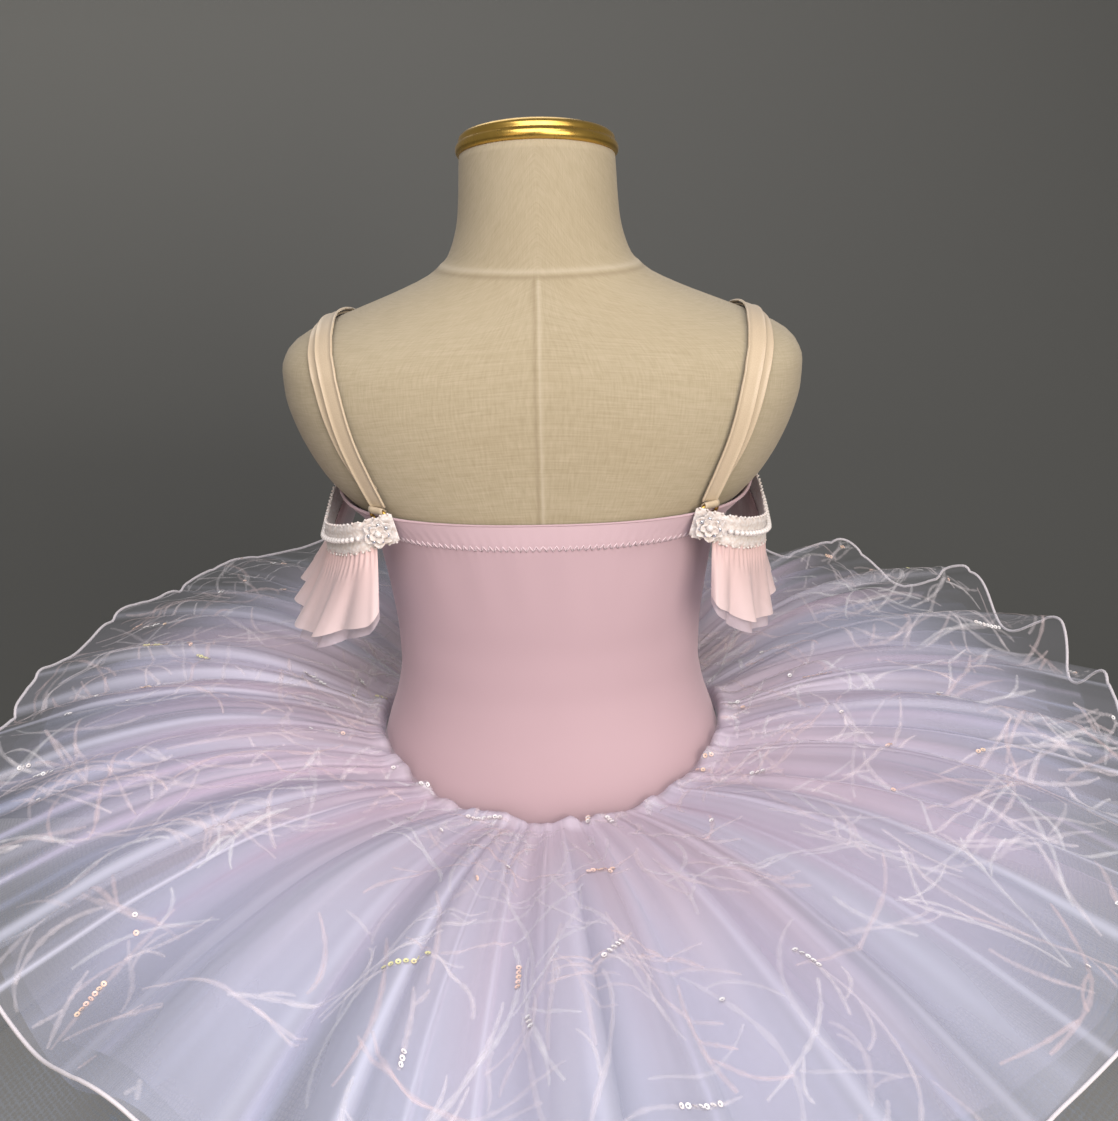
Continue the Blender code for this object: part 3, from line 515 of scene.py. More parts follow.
def makeForm():
    # the rounded section at each level from the hips to the neck, raised where the linen is seamed
    linen = linenMaterial()
    rows = form["rows"]
    bottom, top = rows[0][0], rows[-1][0]
    steps = np.array(form["seamSteps"])
    extra = np.concatenate([turn + sign * steps for turn in (math.pi / 2, 1.5 * math.pi) for sign in (-1, 1)])
    angle = circle(form["sides"]) + 0.01
    angle = np.unique(np.round(np.concatenate([angle, extra]), 5))[:, None]
    even = np.linspace(bottom, top, form["levels"])
    near = form["neckSeam"] + np.linspace(-form["seamReach"], form["seamReach"], 9)
    level = np.sort(np.concatenate([even, near]))[None, :]
    grid = formPoint(angle, level)
    # the cover's seams stand up as low rounded welts: round the neck's foot and down the back and front
    welt = bell(level, form["neckSeam"], form["neckWelt"])
    below = ease((form["neckSeam"] - level) / form["seamReach"])
    welt = np.maximum(welt, 0.9 * bell(grid[..., 0], 0, form["backWelt"]) * below)
    # and painted shade lies in a band beside each welt, with a painted highlight along its top
    shadeBand = bell(level - form["neckSeam"], -form["shadeGap"], form["neckShade"])
    shadeBand = np.maximum(shadeBand, bell(grid[..., 0], form["shadeGap"], form["backShade"]) * below)
    seamShadeAndHighlight = np.clip(shadeBand - 0.8 * welt, -1, 1)
    grid = grid + formNormal(grid) * (welt * form["seamHeight"])[..., None]
    grid = formTilted(grid)
    climb = runLengths(grid, 1)
    climb = np.concatenate([climb, climb[:1]])
    around = np.append(angle[:, 0], angle[0, 0] + 2 * math.pi)[:, None] * form["girthScale"]
    plan = joined(around, climb)
    # closed below and above by a flat ring of quads drawn in to the middle
    shrink = form["endShrink"]
    under = grid[:, :1] * (shrink, shrink, 1)
    middle = grid[:, -1:].mean(axis=0, keepdims=True)
    grid = np.concatenate([under, grid, middle + (grid[:, -1:] - middle) * shrink], axis=1)
    plan = np.concatenate([plan[:, :1] - (0, 0.05), plan, plan[:, -1:] + (0, 0.05)], axis=1)
    seamShadeAndHighlight = np.concatenate([seamShadeAndHighlight[:, :1], seamShadeAndHighlight, seamShadeAndHighlight[:, -1:]], axis=1)
    torso = sheetMesh("linenForm", grid, plan, linen, closed=True, attributes={"seamShadeAndHighlight": seamShadeAndHighlight.ravel()})
    finish(torso, "linen", "form_torso")


makeForm()
print("dress form is covered")

stand = {  # the profiles are (radius, height) rows
    "giltColour": "#d9b25a",
    "paintColour": "#d8d4cc",
    "cap": ((0.0, 0.0), (0.0437, 0.0), (0.0446, 0.0004), (0.0453, 0.0014), (0.0456, 0.0028), (0.0455, 0.0044),
            (0.0449, 0.0056), (0.0437, 0.0064), (0.0435, 0.0072), (0.0438, 0.0084), (0.0433, 0.0098),
            (0.0415, 0.0112), (0.0370, 0.0127), (0.0300, 0.0138), (0.0220, 0.0146), (0.0140, 0.0150),
            (0.0, 0.0151)),
    "capGap": 0.0003,
    "pole": ((0.0, 0.0123), (0.0135, 0.0123), (0.0140, 0.0128), (0.0140, 0.4992), (0.0135, 0.4997),
             (0.0, 0.4997)),
    "base": ((0.0, 0.0), (0.1488, 0.0), (0.1500, 0.0012), (0.1500, 0.0090), (0.1494, 0.0105),
             (0.1482, 0.0115), (0.1468, 0.0120), (0.0, 0.0120)),
}


def makeStand():
    # three turned pieces; the cap leans with the neck's top
    # gilt brass, polished and then handled: marks about 6 mm across change its gloss a little
    gilt, tree, shader = newMaterial("giltMetal", {"Metallic": 1.0, "Roughness": 0.28}, stand["giltColour"])
    dust = addNode(tree, "ShaderNodeTexNoise", {"Scale": 160.0, "Detail": 3.0},
                   {"Vector": addNode(tree, "ShaderNodeTexCoord").outputs["Object"]})
    rough = addNode(tree, "ShaderNodeMapRange", {"To Min": 0.2, "To Max": 0.38},
                    {"Value": dust.outputs["Fac"]})
    tree.links.new(rough.outputs[0], shader.inputs["Roughness"])
    # steel with a baked powder coat: satin, with a fine grain of about 1 mm
    paint, tree, shader = newMaterial("powderCoat", {"Roughness": 0.5}, stand["paintColour"])
    grain = addNode(tree, "ShaderNodeTexNoise", {"Scale": 900.0, "Detail": 2.0},
                    {"Vector": addNode(tree, "ShaderNodeTexCoord").outputs["Object"]})
    bump = addNode(tree, "ShaderNodeBump", {"Strength": 0.15, "Distance": 0.0002},
                   {"Height": grain.outputs["Fac"]})
    tree.links.new(bump.outputs["Normal"], shader.inputs["Normal"])

    neckTop = Matrix.Translation((0, 0, form["rows"][-1][0] + stand["capGap"]))
    lean = neckTop @ Matrix.Rotation(math.radians(form["tiltDeg"]), 4, "X")
    finish(lathe("neckCap", stand["cap"], gilt, 96, lean), "gilt", "form_neck_cap")
    finish(lathe("pole", stand["pole"], paint, 48), "painted_steel", "stand_pole")
    finish(lathe("standBase", stand["base"], paint, 128), "painted_steel", "stand_base")
    return gilt


gilt = makeStand()

bodice = {
    "lift": 0.0009,
    "wall": 0.0015,
    "hemDepth": 0.0150,
    "hemSwell": 0.0006,
    "bottom": 0.575,
    "topRows": ((-90, 0.830), (-62, 0.840), (-48, 0.839), (-25, 0.817), (0, 0.804), (25, 0.800), (50, 0.800),
                (90, 0.800)),  # angle in degrees and height of the top edge
    "seamGap": 0.0009,
    "columns": 230,
    "hemRows": 26,
    "denseDepth": 0.020,
    "rows": 34,
    "shell": 0.0012,
    "clearance": 0.0003,  # between the bodice and what is sewn on it
    "pucker": 0.00013,  # height, then distance from the top edge and width
    "puckerAt": 0.013,
    "puckerWidth": 0.008,
    "puckers": 118,
    "groove": 0.00022,
    "grooveAt": 0.0136,
    "grooveWidth": 0.0012,
    "pull": 0.00025,
    "pullAt": 0.035,
    "pullWidth": 0.02,
    "stitchPitch": 0.0037,
    "stitchTop": 0.0127,  # distance of the zigzag's upper points from the top edge
    "stitchHeight": 0.0033,
    "stitchRadius": 0.0004,
    "stitchLift": 0.0001,
    "edgeRadius": 0.0006,
    "edgeDepth": 0.0005,
}


def bodiceTop(angle):
    # height of the top edge, the same at the left and the right
    degrees = np.degrees(np.arcsin(np.clip(np.sin(angle), -1, 1)))
    return smooth(bodice["topRows"], 1, degrees)


def knitMaterial():
    # nylon and elastane dance knit: fine ribs too small to see, soft sheen
    mat, tree, shader = newMaterial("danceKnit", {
        "Roughness": 0.55, "Sheen Weight": 0.6, "Sheen Roughness": 0.45, "Sheen Tint": linear("#ffe8ea"),
        "Specular IOR Level": 0.35})
    plan = addNode(tree, "ShaderNodeUVMap", uv_map="clothPlan").outputs["UV"]
    patch = addNode(tree, "ShaderNodeTexNoise", {"Scale": 7.0, "Detail": 2.0}, {"Vector": plan})
    tone = addNode(tree, "ShaderNodeMix", {6: linear("#c8aaad"), 7: linear("#d2b3b6")},
                   {0: patch.outputs["Fac"]}, data_type="RGBA")
    hem = addNode(tree, "ShaderNodeAttribute", attribute_name="hemShare")
    # the doubled hem is paler
    double = addNode(tree, "ShaderNodeMix", {7: linear("#dabcbf")},
                     {0: hem.outputs["Fac"], 6: tone.outputs[2]}, data_type="RGBA")
    tree.links.new(double.outputs[2], shader.inputs["Base Color"])
    # ribs of 0.4 mm are drawn 0.7 mm wide
    ribs = addNode(tree, "ShaderNodeMapping", {"Scale": (1400, 500, 1)}, {"Vector": plan})
    grain = addNode(tree, "ShaderNodeTexNoise", {"Scale": 1.0, "Detail": 1.0},
                    {"Vector": ribs.outputs["Vector"]})
    bump = addNode(tree, "ShaderNodeBump", {"Strength": 0.12, "Distance": 0.0002},
                   {"Height": grain.outputs["Fac"]})
    tree.links.new(bump.outputs["Normal"], shader.inputs["Normal"])
    return mat


def bodiceSurface(angle, below):
    # outer face at an angle and a distance under the top edge, with the hem band's swelling,
    # its fine puckers and the groove of the stitch line
    z = bodiceTop(angle) - below
    surface = formPoint(angle, z)
    inHem = 1 - ease((below - bodice["hemDepth"] + 0.0008) / 0.0016)
    edge = ease(below / 0.0012)
    pucker = np.sin(angle * bodice["puckers"] + 1.7 * np.sin(9 * angle))
    pucker = pucker * bell(below, bodice["puckerAt"], bodice["puckerWidth"])
    groove = bell(below, bodice["grooveAt"], bodice["grooveWidth"])
    raised = bodice["lift"] + bodice["wall"] + bodice["hemSwell"] * inHem * (0.35 + 0.65 * edge)
    raised = raised + bodice["pucker"] * pucker - bodice["groove"] * groove
    # soft pulls in the stretched knit under the hem and over the waist
    pull = bodice["pull"] * np.sin(23 * angle + 2 * np.sin(4 * angle))
    pull = pull * bell(below, bodice["pullAt"], bodice["pullWidth"])
    return surface + formNormal(surface) * (raised + pull)[..., None], inHem


def makeBodice():
    # two half shells that meet at the side seams, then the sewing along their top edge
    knit = knitMaterial()
    gap, dense = bodice["seamGap"], bodice["denseDepth"]
    for label, start, node in (("Back", 0.0, "bodice_back"), ("Front", math.pi, "bodice_front")):
        angle = start + np.linspace(gap, math.pi - gap, bodice["columns"])[:, None]
        depth = bodiceTop(angle) - bodice["bottom"]
        # rows lie close together in the hem band and wider apart under it
        near = np.linspace(0, dense, bodice["hemRows"])[None, :] + 0 * depth
        far = dense + (depth - dense) * np.linspace(0, 1, bodice["rows"] + 1)[None, 1:]
        below = np.concatenate([near, far], axis=1)
        grid, inHem = bodiceSurface(angle, below)
        plan = joined(runLengths(grid[:, :1]), -below)
        piece = sheetMesh("bodice" + label, grid, plan, knit, flip=True,
                          attributes={"hemShare": inHem.ravel()})
        solidify(piece, bodice["shell"])
        finish(piece, "pink_knit", node)
    # spun polyester sewing thread, paler than the knit and soft
    thread = newMaterial("paleThread", {"Roughness": 0.6, "Sheen Weight": 0.3}, "#eed6d7")[0]
    # the folded edge round the top
    angle = circle(420)
    edge, _ = bodiceSurface(angle, 0 * angle + bodice["edgeDepth"])
    finish(tubePiece("topEdge", edge, bodice["edgeRadius"], knit, 6, closed=True), "pink_knit")
    # coverstitch: a zigzag thread of legs that meet at the top, spaced evenly along the edge
    ring, _ = bodiceSurface(angle, 0 * angle + 0.0140)
    around = runLengths(np.concatenate([ring, ring[:1]]))
    count = int(around[-1] / bodice["stitchPitch"])
    middle = np.interp(np.arange(count) / count * around[-1], around, np.append(angle, 2 * math.pi))
    half = math.pi / count * 0.86  # the legs leave a small space between them
    shape = np.array([(-1.0, 1.0), (-0.5, 0.5), (0.0, 0.0), (0.5, 0.5), (1.0, 1.0)])
    at = middle[:, None] + half * shape[None, :, 0]
    depth = bodice["stitchTop"] + bodice["stitchHeight"] * shape[None, :, 1] + 0 * at
    path, _ = bodiceSurface(at, depth)
    out = formNormal(formPoint(at, bodiceTop(at) - depth))
    path = path + out * bodice["stitchLift"]
    section = np.array([(-1, 0), (0, -1), (1, 0), (0, 1)], float) * bodice["stitchRadius"]
    points, quads = sweep(path, out, section)
    finish(meshObject("hemStitches", points, quads, thread), "pink_knit")


makeBodice()
print("bodice is sewn")

skirt = {
    "seamSide": 0.643,
    "seamDip": 0.028,  # the waist seam drops in a soft point at the back and the front
    "seamGap": 0.0009,
    "hemRows": ((-180, 0.358), (-150, 0.376), (-126, 0.354), (-90, 0.368), (-47, 0.386), (0, 0.357),
                (30, 0.362), (55, 0.373), (90, 0.386), (125, 0.396), (155, 0.376),
                (180, 0.358)),  # angle, radius from above
    "rimSide": 0.646,
    "rimBackDrop": 0.024,
    "rimFrontRise": 0.008,
    "puffRows": ((0.0, 0.0), (0.10, 0.011), (0.25, 0.022), (0.45, 0.028), (0.70, 0.021), (0.88, 0.009),
                 (1.0, 0.0), (1.12, -0.010)),  # share of the way from seam to hem, rise
    "foldRows": ((-178, 0.022), (-165, 0.030), (-149, 0.032), (-132, 0.024), (-114, 0.016), (-97, 0.014),
                 (-79, 0.014), (-62, 0.008), (-44, 0.006), (-27, 0.006), (-9, 0.007), (9, 0.010), (26, 0.012),
                 (43, 0.012), (60, 0.016), (77, 0.020), (95, 0.018), (112, 0.020), (129, 0.016), (147, 0.020),
                 (164, 0.024)),  # angle and height of each main crest
    "foldStart": 0.04,
    "foldReach": 0.25,
    "spread": 0.75,
    "panels": 46,
    "panelSeed": 90,
    "narrowPanels": 95,
    "broadSize": 0.0060,  # heights of the broad and the narrow panels and of the soft gathers,
    "narrowSize": 0.0016,  # and how they change on the way from seam to hem
    "softSize": 0.0018,
    "broadRows": ((0, 0), (0.12, 0.15), (0.35, 0.8), (0.65, 1.0), (0.9, 0.5), (1.1, 0.3)),
    "narrowRows": ((0, 0), (0.05, 0.5), (0.25, 1.0), (0.6, 0.8), (1.1, 0.25)),
    "softRows": ((0, 0), (0.03, 0.7), (0.10, 1.0), (0.30, 0.45), (0.6, 0.1), (1.1, 0)),
    "creaseDepth": 0.0060,
    "creaseWidth": 0.09,  # share of a panel
    "fullness": ((-180, 0.80), (-150, 0.80), (-90, 1.0), (-20, 0.95), (2, 0.82), (18, 0.70), (50, 0.58),
                 (72, 0.86), (92, 1.18), (112, 1.15), (130, 0.84), (165, 0.86),
                 (180, 0.80)),  # angle, closeness of the gathers
    "flatWidth": 0.31,  # from the seam to the hem, laid flat
    "planWidth": 3.6,  # the cloth round the skirt with all its gathers, which the net's mesh follows
    "planHeight": 0.30,
    "coverAt": (0, 0.15, 0.5, 0.85, 1),  # shares of the way from seam to hem that a layer's cover is given at
    "partWidth": 0.17,  # share of a panel over which the under layers part at a crease
    "frontThin": 0.60,  # shares of the cover that are missing at the front and at the sides
    "sideThin": 0.16,
    "headingCover": 0.35,
    "looseStart": 0.64,  # from here to its hem an inner layer fades
}

skirtLayers = {  # cover: the share of light that one flat layer stops
    "embroideredSkirt": {
        "node": "overskirt", "slot": "embroidered_tulle", "reach": 1.00, "seamDrop": 0.0, "hemDrop": 0.0,
        "swing": 0.0, "waves": 0, "phase": 0, "steps": 1800, "rows": 46, "seed": 11, "flatLength": 2.0,
        "cover": (0.64, 0.54, 0.40, 0.28, 0.25), "part": 0.42, "streak": 0.25, "loose": 0.15, "puff": 0.0066,
        "colours": ("#f3e6f2", "#eae6f6", "#eaecfb"), "netScale": 0, "netDepth": 0},
    "pinkTulle": {
        "node": "tulle_pink", "slot": "pink_tulle", "reach": 0.93, "seamDrop": 0.0026, "hemDrop": 0.013,
        "swing": 0.0055, "waves": 17, "phase": 20, "steps": 1400, "rows": 30, "seed": 23, "flatLength": 2.0,
        "cover": (0.85, 0.74, 0.58, 0.44, 0.34), "part": 0.88, "streak": 0.45, "loose": 0.85, "puff": 0.0040,
        "colours": ("#edcbdc", "#e6cbe2", "#dadaf5"), "netScale": 0, "netDepth": 0},
    "lilacTulle": {
        "node": "tulle_lilac", "slot": "lilac_tulle", "reach": 0.95, "seamDrop": 0.0052, "hemDrop": 0.027,
        "swing": 0.0060, "waves": 15, "phase": 65, "steps": 1200, "rows": 24, "seed": 47, "flatLength": 2.0,
        "cover": (0.90, 0.82, 0.66, 0.52, 0.42), "part": 0.85, "streak": 0.45, "loose": 0.80, "puff": 0.0020,
        "colours": ("#d9cde8", "#ced4f4", "#cdd6f6"), "netScale": 0, "netDepth": 0},
    "netUnderskirt": {
        "node": "net_underskirt", "slot": "grey_net", "reach": 1.08, "seamDrop": 0.0078, "hemDrop": 0.046,
        "swing": 0.0070, "waves": 13, "phase": 10, "steps": 1200, "rows": 24, "seed": 59, "flatLength": 2.1,
        "cover": (0.85, 0.75, 0.55, 0.42, 0.34), "part": 0.45, "streak": 0.25, "loose": 0.25, "puff": 0.0,
        # its greys darken towards its hem: partly the net's own grey and partly painted shade of the skirt's
        # dark inside
        "colours": ("#b5b2c2", "#9aa1b0", "#828b94"), "netScale": 330, "netDepth": 0.70},
}


def seamPoint(angle, drop):
    # a point just off the bodice, this far under the waist seam, in a direction seen from above
    turn = np.linspace(-math.pi, math.pi, 1441)
    reach = bodice["lift"] + bodice["wall"] + skirt["seamGap"]

    def seamZ(at):
        return skirt["seamSide"] - skirt["seamDip"] * np.abs(np.sin(at)) ** 2.2

    ring = formPoint(turn, seamZ(turn) - drop)
    ring = ring + formNormal(ring) * reach
    seen = np.arctan2(ring[:, 1], ring[:, 0])
    change = (turn - seen + math.pi) % (2 * math.pi) - math.pi
    at = angle + np.interp(angle, seen, change, period=2 * math.pi)
    point = formPoint(at, seamZ(at) - drop)
    return point + formNormal(point) * (reach, reach, 0)


def foldWave(angle):
    # main folds: a crest for each row and a trough half way between, joined by cosine halves
    crest = np.radians([row[0] for row in skirt["foldRows"]])
    height = np.array([row[1] for row in skirt["foldRows"]])
    crest, height = np.append(crest, crest[0] + 2 * math.pi), np.append(height, height[0])
    knots, values = np.empty(2 * len(crest) - 1), np.empty(2 * len(crest) - 1)
    knots[0::2], knots[1::2] = crest, (crest[1:] + crest[:-1]) / 2
    values[0::2], values[1::2] = height / 2, -(height[1:] + height[:-1]) / 4
    at = (angle - knots[0]) % (2 * math.pi) + knots[0]
    i = np.clip(np.searchsorted(knots, at, side="right") - 1, 0, len(knots) - 2)
    t = (at - knots[i]) / (knots[i + 1] - knots[i])
    return values[i] + (values[i + 1] - values[i]) * (1 - np.cos(math.pi * t)) / 2


def skirtSurface(angle, share, drop):
    # straight line from the seam to the rim in each direction, plus the puff and the folds' height,
    # which grow from nothing at the seam
    start = seamPoint(angle[:, :1], drop) + 0 * share[..., None]
    sin = np.sin(angle)
    grow = np.clip((share - skirt["foldStart"]) / (1 - skirt["foldStart"]), 0, None) ** 1.25
    wave = foldWave(angle) * grow
    heading = np.degrees(np.arctan2(sin, np.cos(angle)))
    rimRadius = smooth(skirt["hemRows"], 1, heading) + skirt["foldReach"] * wave
    level = skirt["rimSide"] - skirt["rimBackDrop"] * np.clip(sin, 0, 1) ** 2
    level = level + skirt["rimFrontRise"] * np.clip(-sin, 0, 1) ** 2
    puff = smooth(skirt["puffRows"], 1, share) * (1 - 0.30 * np.clip(sin, 0, 1) ** 2)
    x = start[..., 0] * (1 - share) + rimRadius * np.cos(angle) * share
    y = start[..., 1] * (1 - share) + rimRadius * sin * share
    z = start[..., 2] * (1 - share) + level * share + puff + wave
    return np.stack([x, y, z], axis=-1)


def ringNoise(seed, count, angle):
    # a smooth random value from -1 to 1 round the ring, with this many bumps
    values = np.random.default_rng(seed).uniform(-1, 1, count)
    at = (angle / (2 * math.pi)) % 1 * count
    i = np.floor(at).astype(int)
    t = ease(at - i)
    return values[i % count] * (1 - t) + values[(i + 1) % count] * t


def panels(angle, seed, count):
    # cuts the ring into uneven panels; gives the number of the panel and the place across it from 0 to 1
    width = np.random.default_rng(seed).uniform(0.4, 1.6, count)
    edge = np.append(0, np.cumsum(width)) / width.sum() * 2 * math.pi
    at = angle % (2 * math.pi)
    i = np.clip(np.searchsorted(edge, at, side="right") - 1, 0, count - 1)
    return i, (at - edge[i]) / (edge[i + 1] - edge[i])


def overlaps(angle, seed, count):
    # each panel rises slowly and turns down sharply where the next one starts
    i, t = panels(angle, seed, count)
    rng = np.random.default_rng(seed + 1)
    size, turned = rng.uniform(0.3, 1.0, count)[i], (rng.random(count) < 0.4)[i]
    return size * np.sin(math.pi * np.where(turned, 1 - t, t) ** 2.0)


def creases(angle, share, width):
    # 1 in the dark valleys between the broad panels; a valley is a long thin leaf shape
    # that starts and ends at its own distance from the seam
    i, t = panels(angle, skirt["panelSeed"], skirt["panels"])
    near = np.where(t < 0.5, i, (i + 1) % skirt["panels"])
    rng = np.random.default_rng(skirt["panelSeed"] + 2)
    depth = np.clip(rng.uniform(-0.2, 1.2, skirt["panels"]), 0, 1)[near]
    first = rng.uniform(0.10, 0.40, skirt["panels"])[near]
    last = rng.uniform(0.75, 1.5, skirt["panels"])[near]
    leaf = ease((share - first) / 0.35) * (1 - ease((share - last) / 0.3))
    return depth * leaf * np.exp(-(np.minimum(t, 1 - t) / width) ** 1.5)


def bent(angle, share):
    # fold lines are not quite radial
    return angle + 0.045 * ringNoise(5, 17, angle) * share + 0.012 * ringNoise(6, 43, angle)


def tulleFolds(angle, share, seed, puffHeight):
    # broad overlapping panels out to the hem, narrower ones between them, and soft gathers that die away
    # from the seam; every layer has the same panels and valleys but its own smaller folds
    line = bent(angle, share)
    broad = skirt["broadSize"] * smooth(skirt["broadRows"], 1, share)
    narrow = skirt["narrowSize"] * smooth(skirt["narrowRows"], 1, share)
    soft = skirt["softSize"] * smooth(skirt["softRows"], 1, share)
    height = broad * overlaps(line, skirt["panelSeed"], skirt["panels"])
    height = height + narrow * overlaps(line + 0.01 * seed, seed, skirt["narrowPanels"])
    height = height + soft * (ringNoise(seed + 3, 104, line) + 0.5 * ringNoise(seed + 4, 190, line))
    # the gathered heading stands up in small puffs right beside the bodice
    puff = puffHeight * bell(share, 0.024, 0.020) * (0.5 + 0.5 * ringNoise(seed + 5, 74, angle))
    crease = skirt["creaseDepth"] * creases(line, share, skirt["creaseWidth"]) * (1.1 - 0.6 * share)
    return height + puff * ease(share / 0.012) - crease


def tulleMaterial(name, colours, netScale, netDepth):
    # nylon tulle: its hexagonal net is too fine to see singly, so it reads as a haze that is denser
    # where the cloth stands on edge in a fold, and its threads are too fine to show a gloss; colours run
    # from the seam to the hem. The underskirt's coarser net has holes of 1.2 mm, drawn 3 mm wide
    mat, tree, shader = newMaterial(name, {"Roughness": 0.75, "Specular IOR Level": 0.0})
    outward = addNode(tree, "ShaderNodeAttribute", attribute_name="outward").outputs["Fac"]
    tint = addNode(tree, "ShaderNodeAttribute", attribute_name="tint").outputs["Fac"]
    cover = addNode(tree, "ShaderNodeAttribute", attribute_name="coverShare").outputs["Fac"]
    mixed = addNode(tree, "ShaderNodeMath", links={0: outward, 1: tint}, operation="ADD")
    ramp = addNode(tree, "ShaderNodeValToRGB", links={"Fac": mixed.outputs[0]})
    stops = ramp.color_ramp.elements
    stops[0].position, stops[0].color = 0.02, linear(colours[0])
    stops[1].position, stops[1].color = 0.85, linear(colours[2])
    stops.new(0.32).color = linear(colours[1])
    tree.links.new(ramp.outputs["Color"], shader.inputs["Base Color"])
    if not netScale:
        tree.links.new(cover, shader.inputs["Alpha"])
        return mat
    plan = addNode(tree, "ShaderNodeUVMap", uv_map="clothPlan").outputs["UV"]
    cells = addNode(tree, "ShaderNodeTexVoronoi", {"Scale": netScale, "Randomness": 0.25}, {"Vector": plan},
                    feature="F1", voronoi_dimensions="2D")
    threads = addNode(tree, "ShaderNodeMapRange", {
        "From Min": 0.25, "From Max": 0.62, "To Min": 1.0 - netDepth, "To Max": 1.0 + netDepth,
    }, {"Value": cells.outputs["Distance"]})
    alpha = addNode(tree, "ShaderNodeMath", links={0: cover, 1: threads.outputs[0]}, operation="MULTIPLY",
                    use_clamp=True)
    tree.links.new(alpha.outputs[0], shader.inputs["Alpha"])
    return mat


grids = {}  # each layer's points, and their shares of the way to the hem, for what is sewn on it


def panelValues(seed, low, high):
    # one random value for each broad panel of a layer
    return np.random.default_rng(seed).uniform(low, high, skirt["panels"])


def layerCover(layer, angle, share, slope, panel, across):
    # a tilted piece of net stops more light, so cover = 1 - (1 - flat cover) ^ (1 / slope cosine),
    # and the gathers bunch it in random radial streaks
    seed, reach = layer["seed"], layer["reach"]
    sin, cos = np.sin(angle), np.cos(angle)
    streak = (1 - share * 0.6) * ringNoise(seed + 6, 150, angle) + 0.8 * ringNoise(seed + 7, 64, angle)
    streak = streak + 0.6 * share * ringNoise(seed + 8, 31, angle)
    streak = streak + 0.7 * (1 - 0.6 * share) * ringNoise(seed + 13, 420, angle)
    flat = smooth(list(zip(skirt["coverAt"], layer["cover"])), 1, share / reach)
    full = smooth(skirt["fullness"], 1, np.degrees(angle)) * panelValues(seed + 14, 0.86, 1.24)[panel]
    cover = 1 - (1 - flat) ** (full * (1 / slope) ** 1.15 * np.exp(layer["streak"] * streak))
    # the under layers part at the creases, so the dark inside of the skirt shows through there
    cover = cover * (1 - layer["part"] * creases(bent(angle, share), share, skirt["partWidth"]))
    # the front is made with less cloth under the net, so its rim is clearer
    thin = ease(0.42 - 1.3 * sin - 0.25 * cos)
    cover = cover * (1 - skirt["frontThin"] * thin * ease((share - 0.15) / 0.7))
    # the raw heading beside the bodice is frayed
    cover = cover * (skirt["headingCover"] + (1 - skirt["headingCover"]) * ease(share / 0.035))
    side = ease(1.7 * np.abs(cos) - 0.55)
    cover = cover * (1 - skirt["sideThin"] * side * ease((share - 0.2) / 0.4))
    # the cut edges of the inner layers are loose, so they fade instead of showing as a line
    loose = layer["loose"] * (0.4 + 0.6 * np.maximum(thin, side))
    start = skirt["looseStart"]
    cover = cover * (1 - loose * ease((share / reach - start) / (1 - start)))
    # where a panel turns under, the doubled cloth is whiter
    doubled = panelValues(seed + 12, 0, 0.75)[panel]
    doubled = doubled * bell(across, 0.90, 0.05) * ease((share - 0.1) / 0.3)
    doubled = doubled * (0.25 + 0.75 * ease(0.45 + 1.3 * sin))
    return 1 - (1 - cover) * (1 - doubled)


def makeSkirt():
    # each layer is the skirt's surface, lower and wavier towards its hem, with its folds along the normal
    for name, layer in skirtLayers.items():
        angle = np.linspace(-math.pi, math.pi, layer["steps"], endpoint=False)[:, None]
        share = layer["reach"] * np.linspace(0, 1, layer["rows"])[None, :] ** 1.4
        angle, share = np.broadcast_arrays(angle, share)
        grid = skirtSurface(angle, share, layer["seamDrop"])
        ripple = layer["swing"] * np.sin(layer["waves"] * angle + math.radians(layer["phase"]))
        grid[..., 2] -= share ** skirt["spread"] * layer["hemDrop"] + share * ripple
        plain = gridNormals(grid, closed=True)
        plain = plain * np.sign(plain[..., 2:])
        grid = grid + plain * tulleFolds(angle, share, layer["seed"], layer["puff"])[..., None]
        grids[name] = (grid, share[0])
        slope = np.clip(np.abs((gridNormals(grid, closed=True) * plain).sum(axis=-1)), 0.25, 1)
        panel, across = panels(bent(angle, share), skirt["panelSeed"], skirt["panels"])
        cover = layerCover(layer, angle, share, slope, panel, across)
        tone = panelValues(layer["seed"] + 9, -0.45, 0.35)[panel]
        tint = tone * np.sin(math.pi * across) ** 0.5 + 0.10 * ringNoise(layer["seed"] + 10, 83, angle)
        around = np.linspace(0, skirt["planWidth"], layer["steps"] + 1)[:, None]
        plan = joined(around, skirt["planHeight"] * share[:1])
        mat = tulleMaterial(name + "Cloth", layer["colours"], layer["netScale"], layer["netDepth"])
        piece = sheetMesh(name, grid, plan, mat, closed=True, attributes={
            "coverShare": cover.ravel(), "outward": share.ravel(), "tint": tint.ravel()})
        finish(piece, layer["slot"], layer["node"])


makeSkirt()
print("skirt layers are gathered")

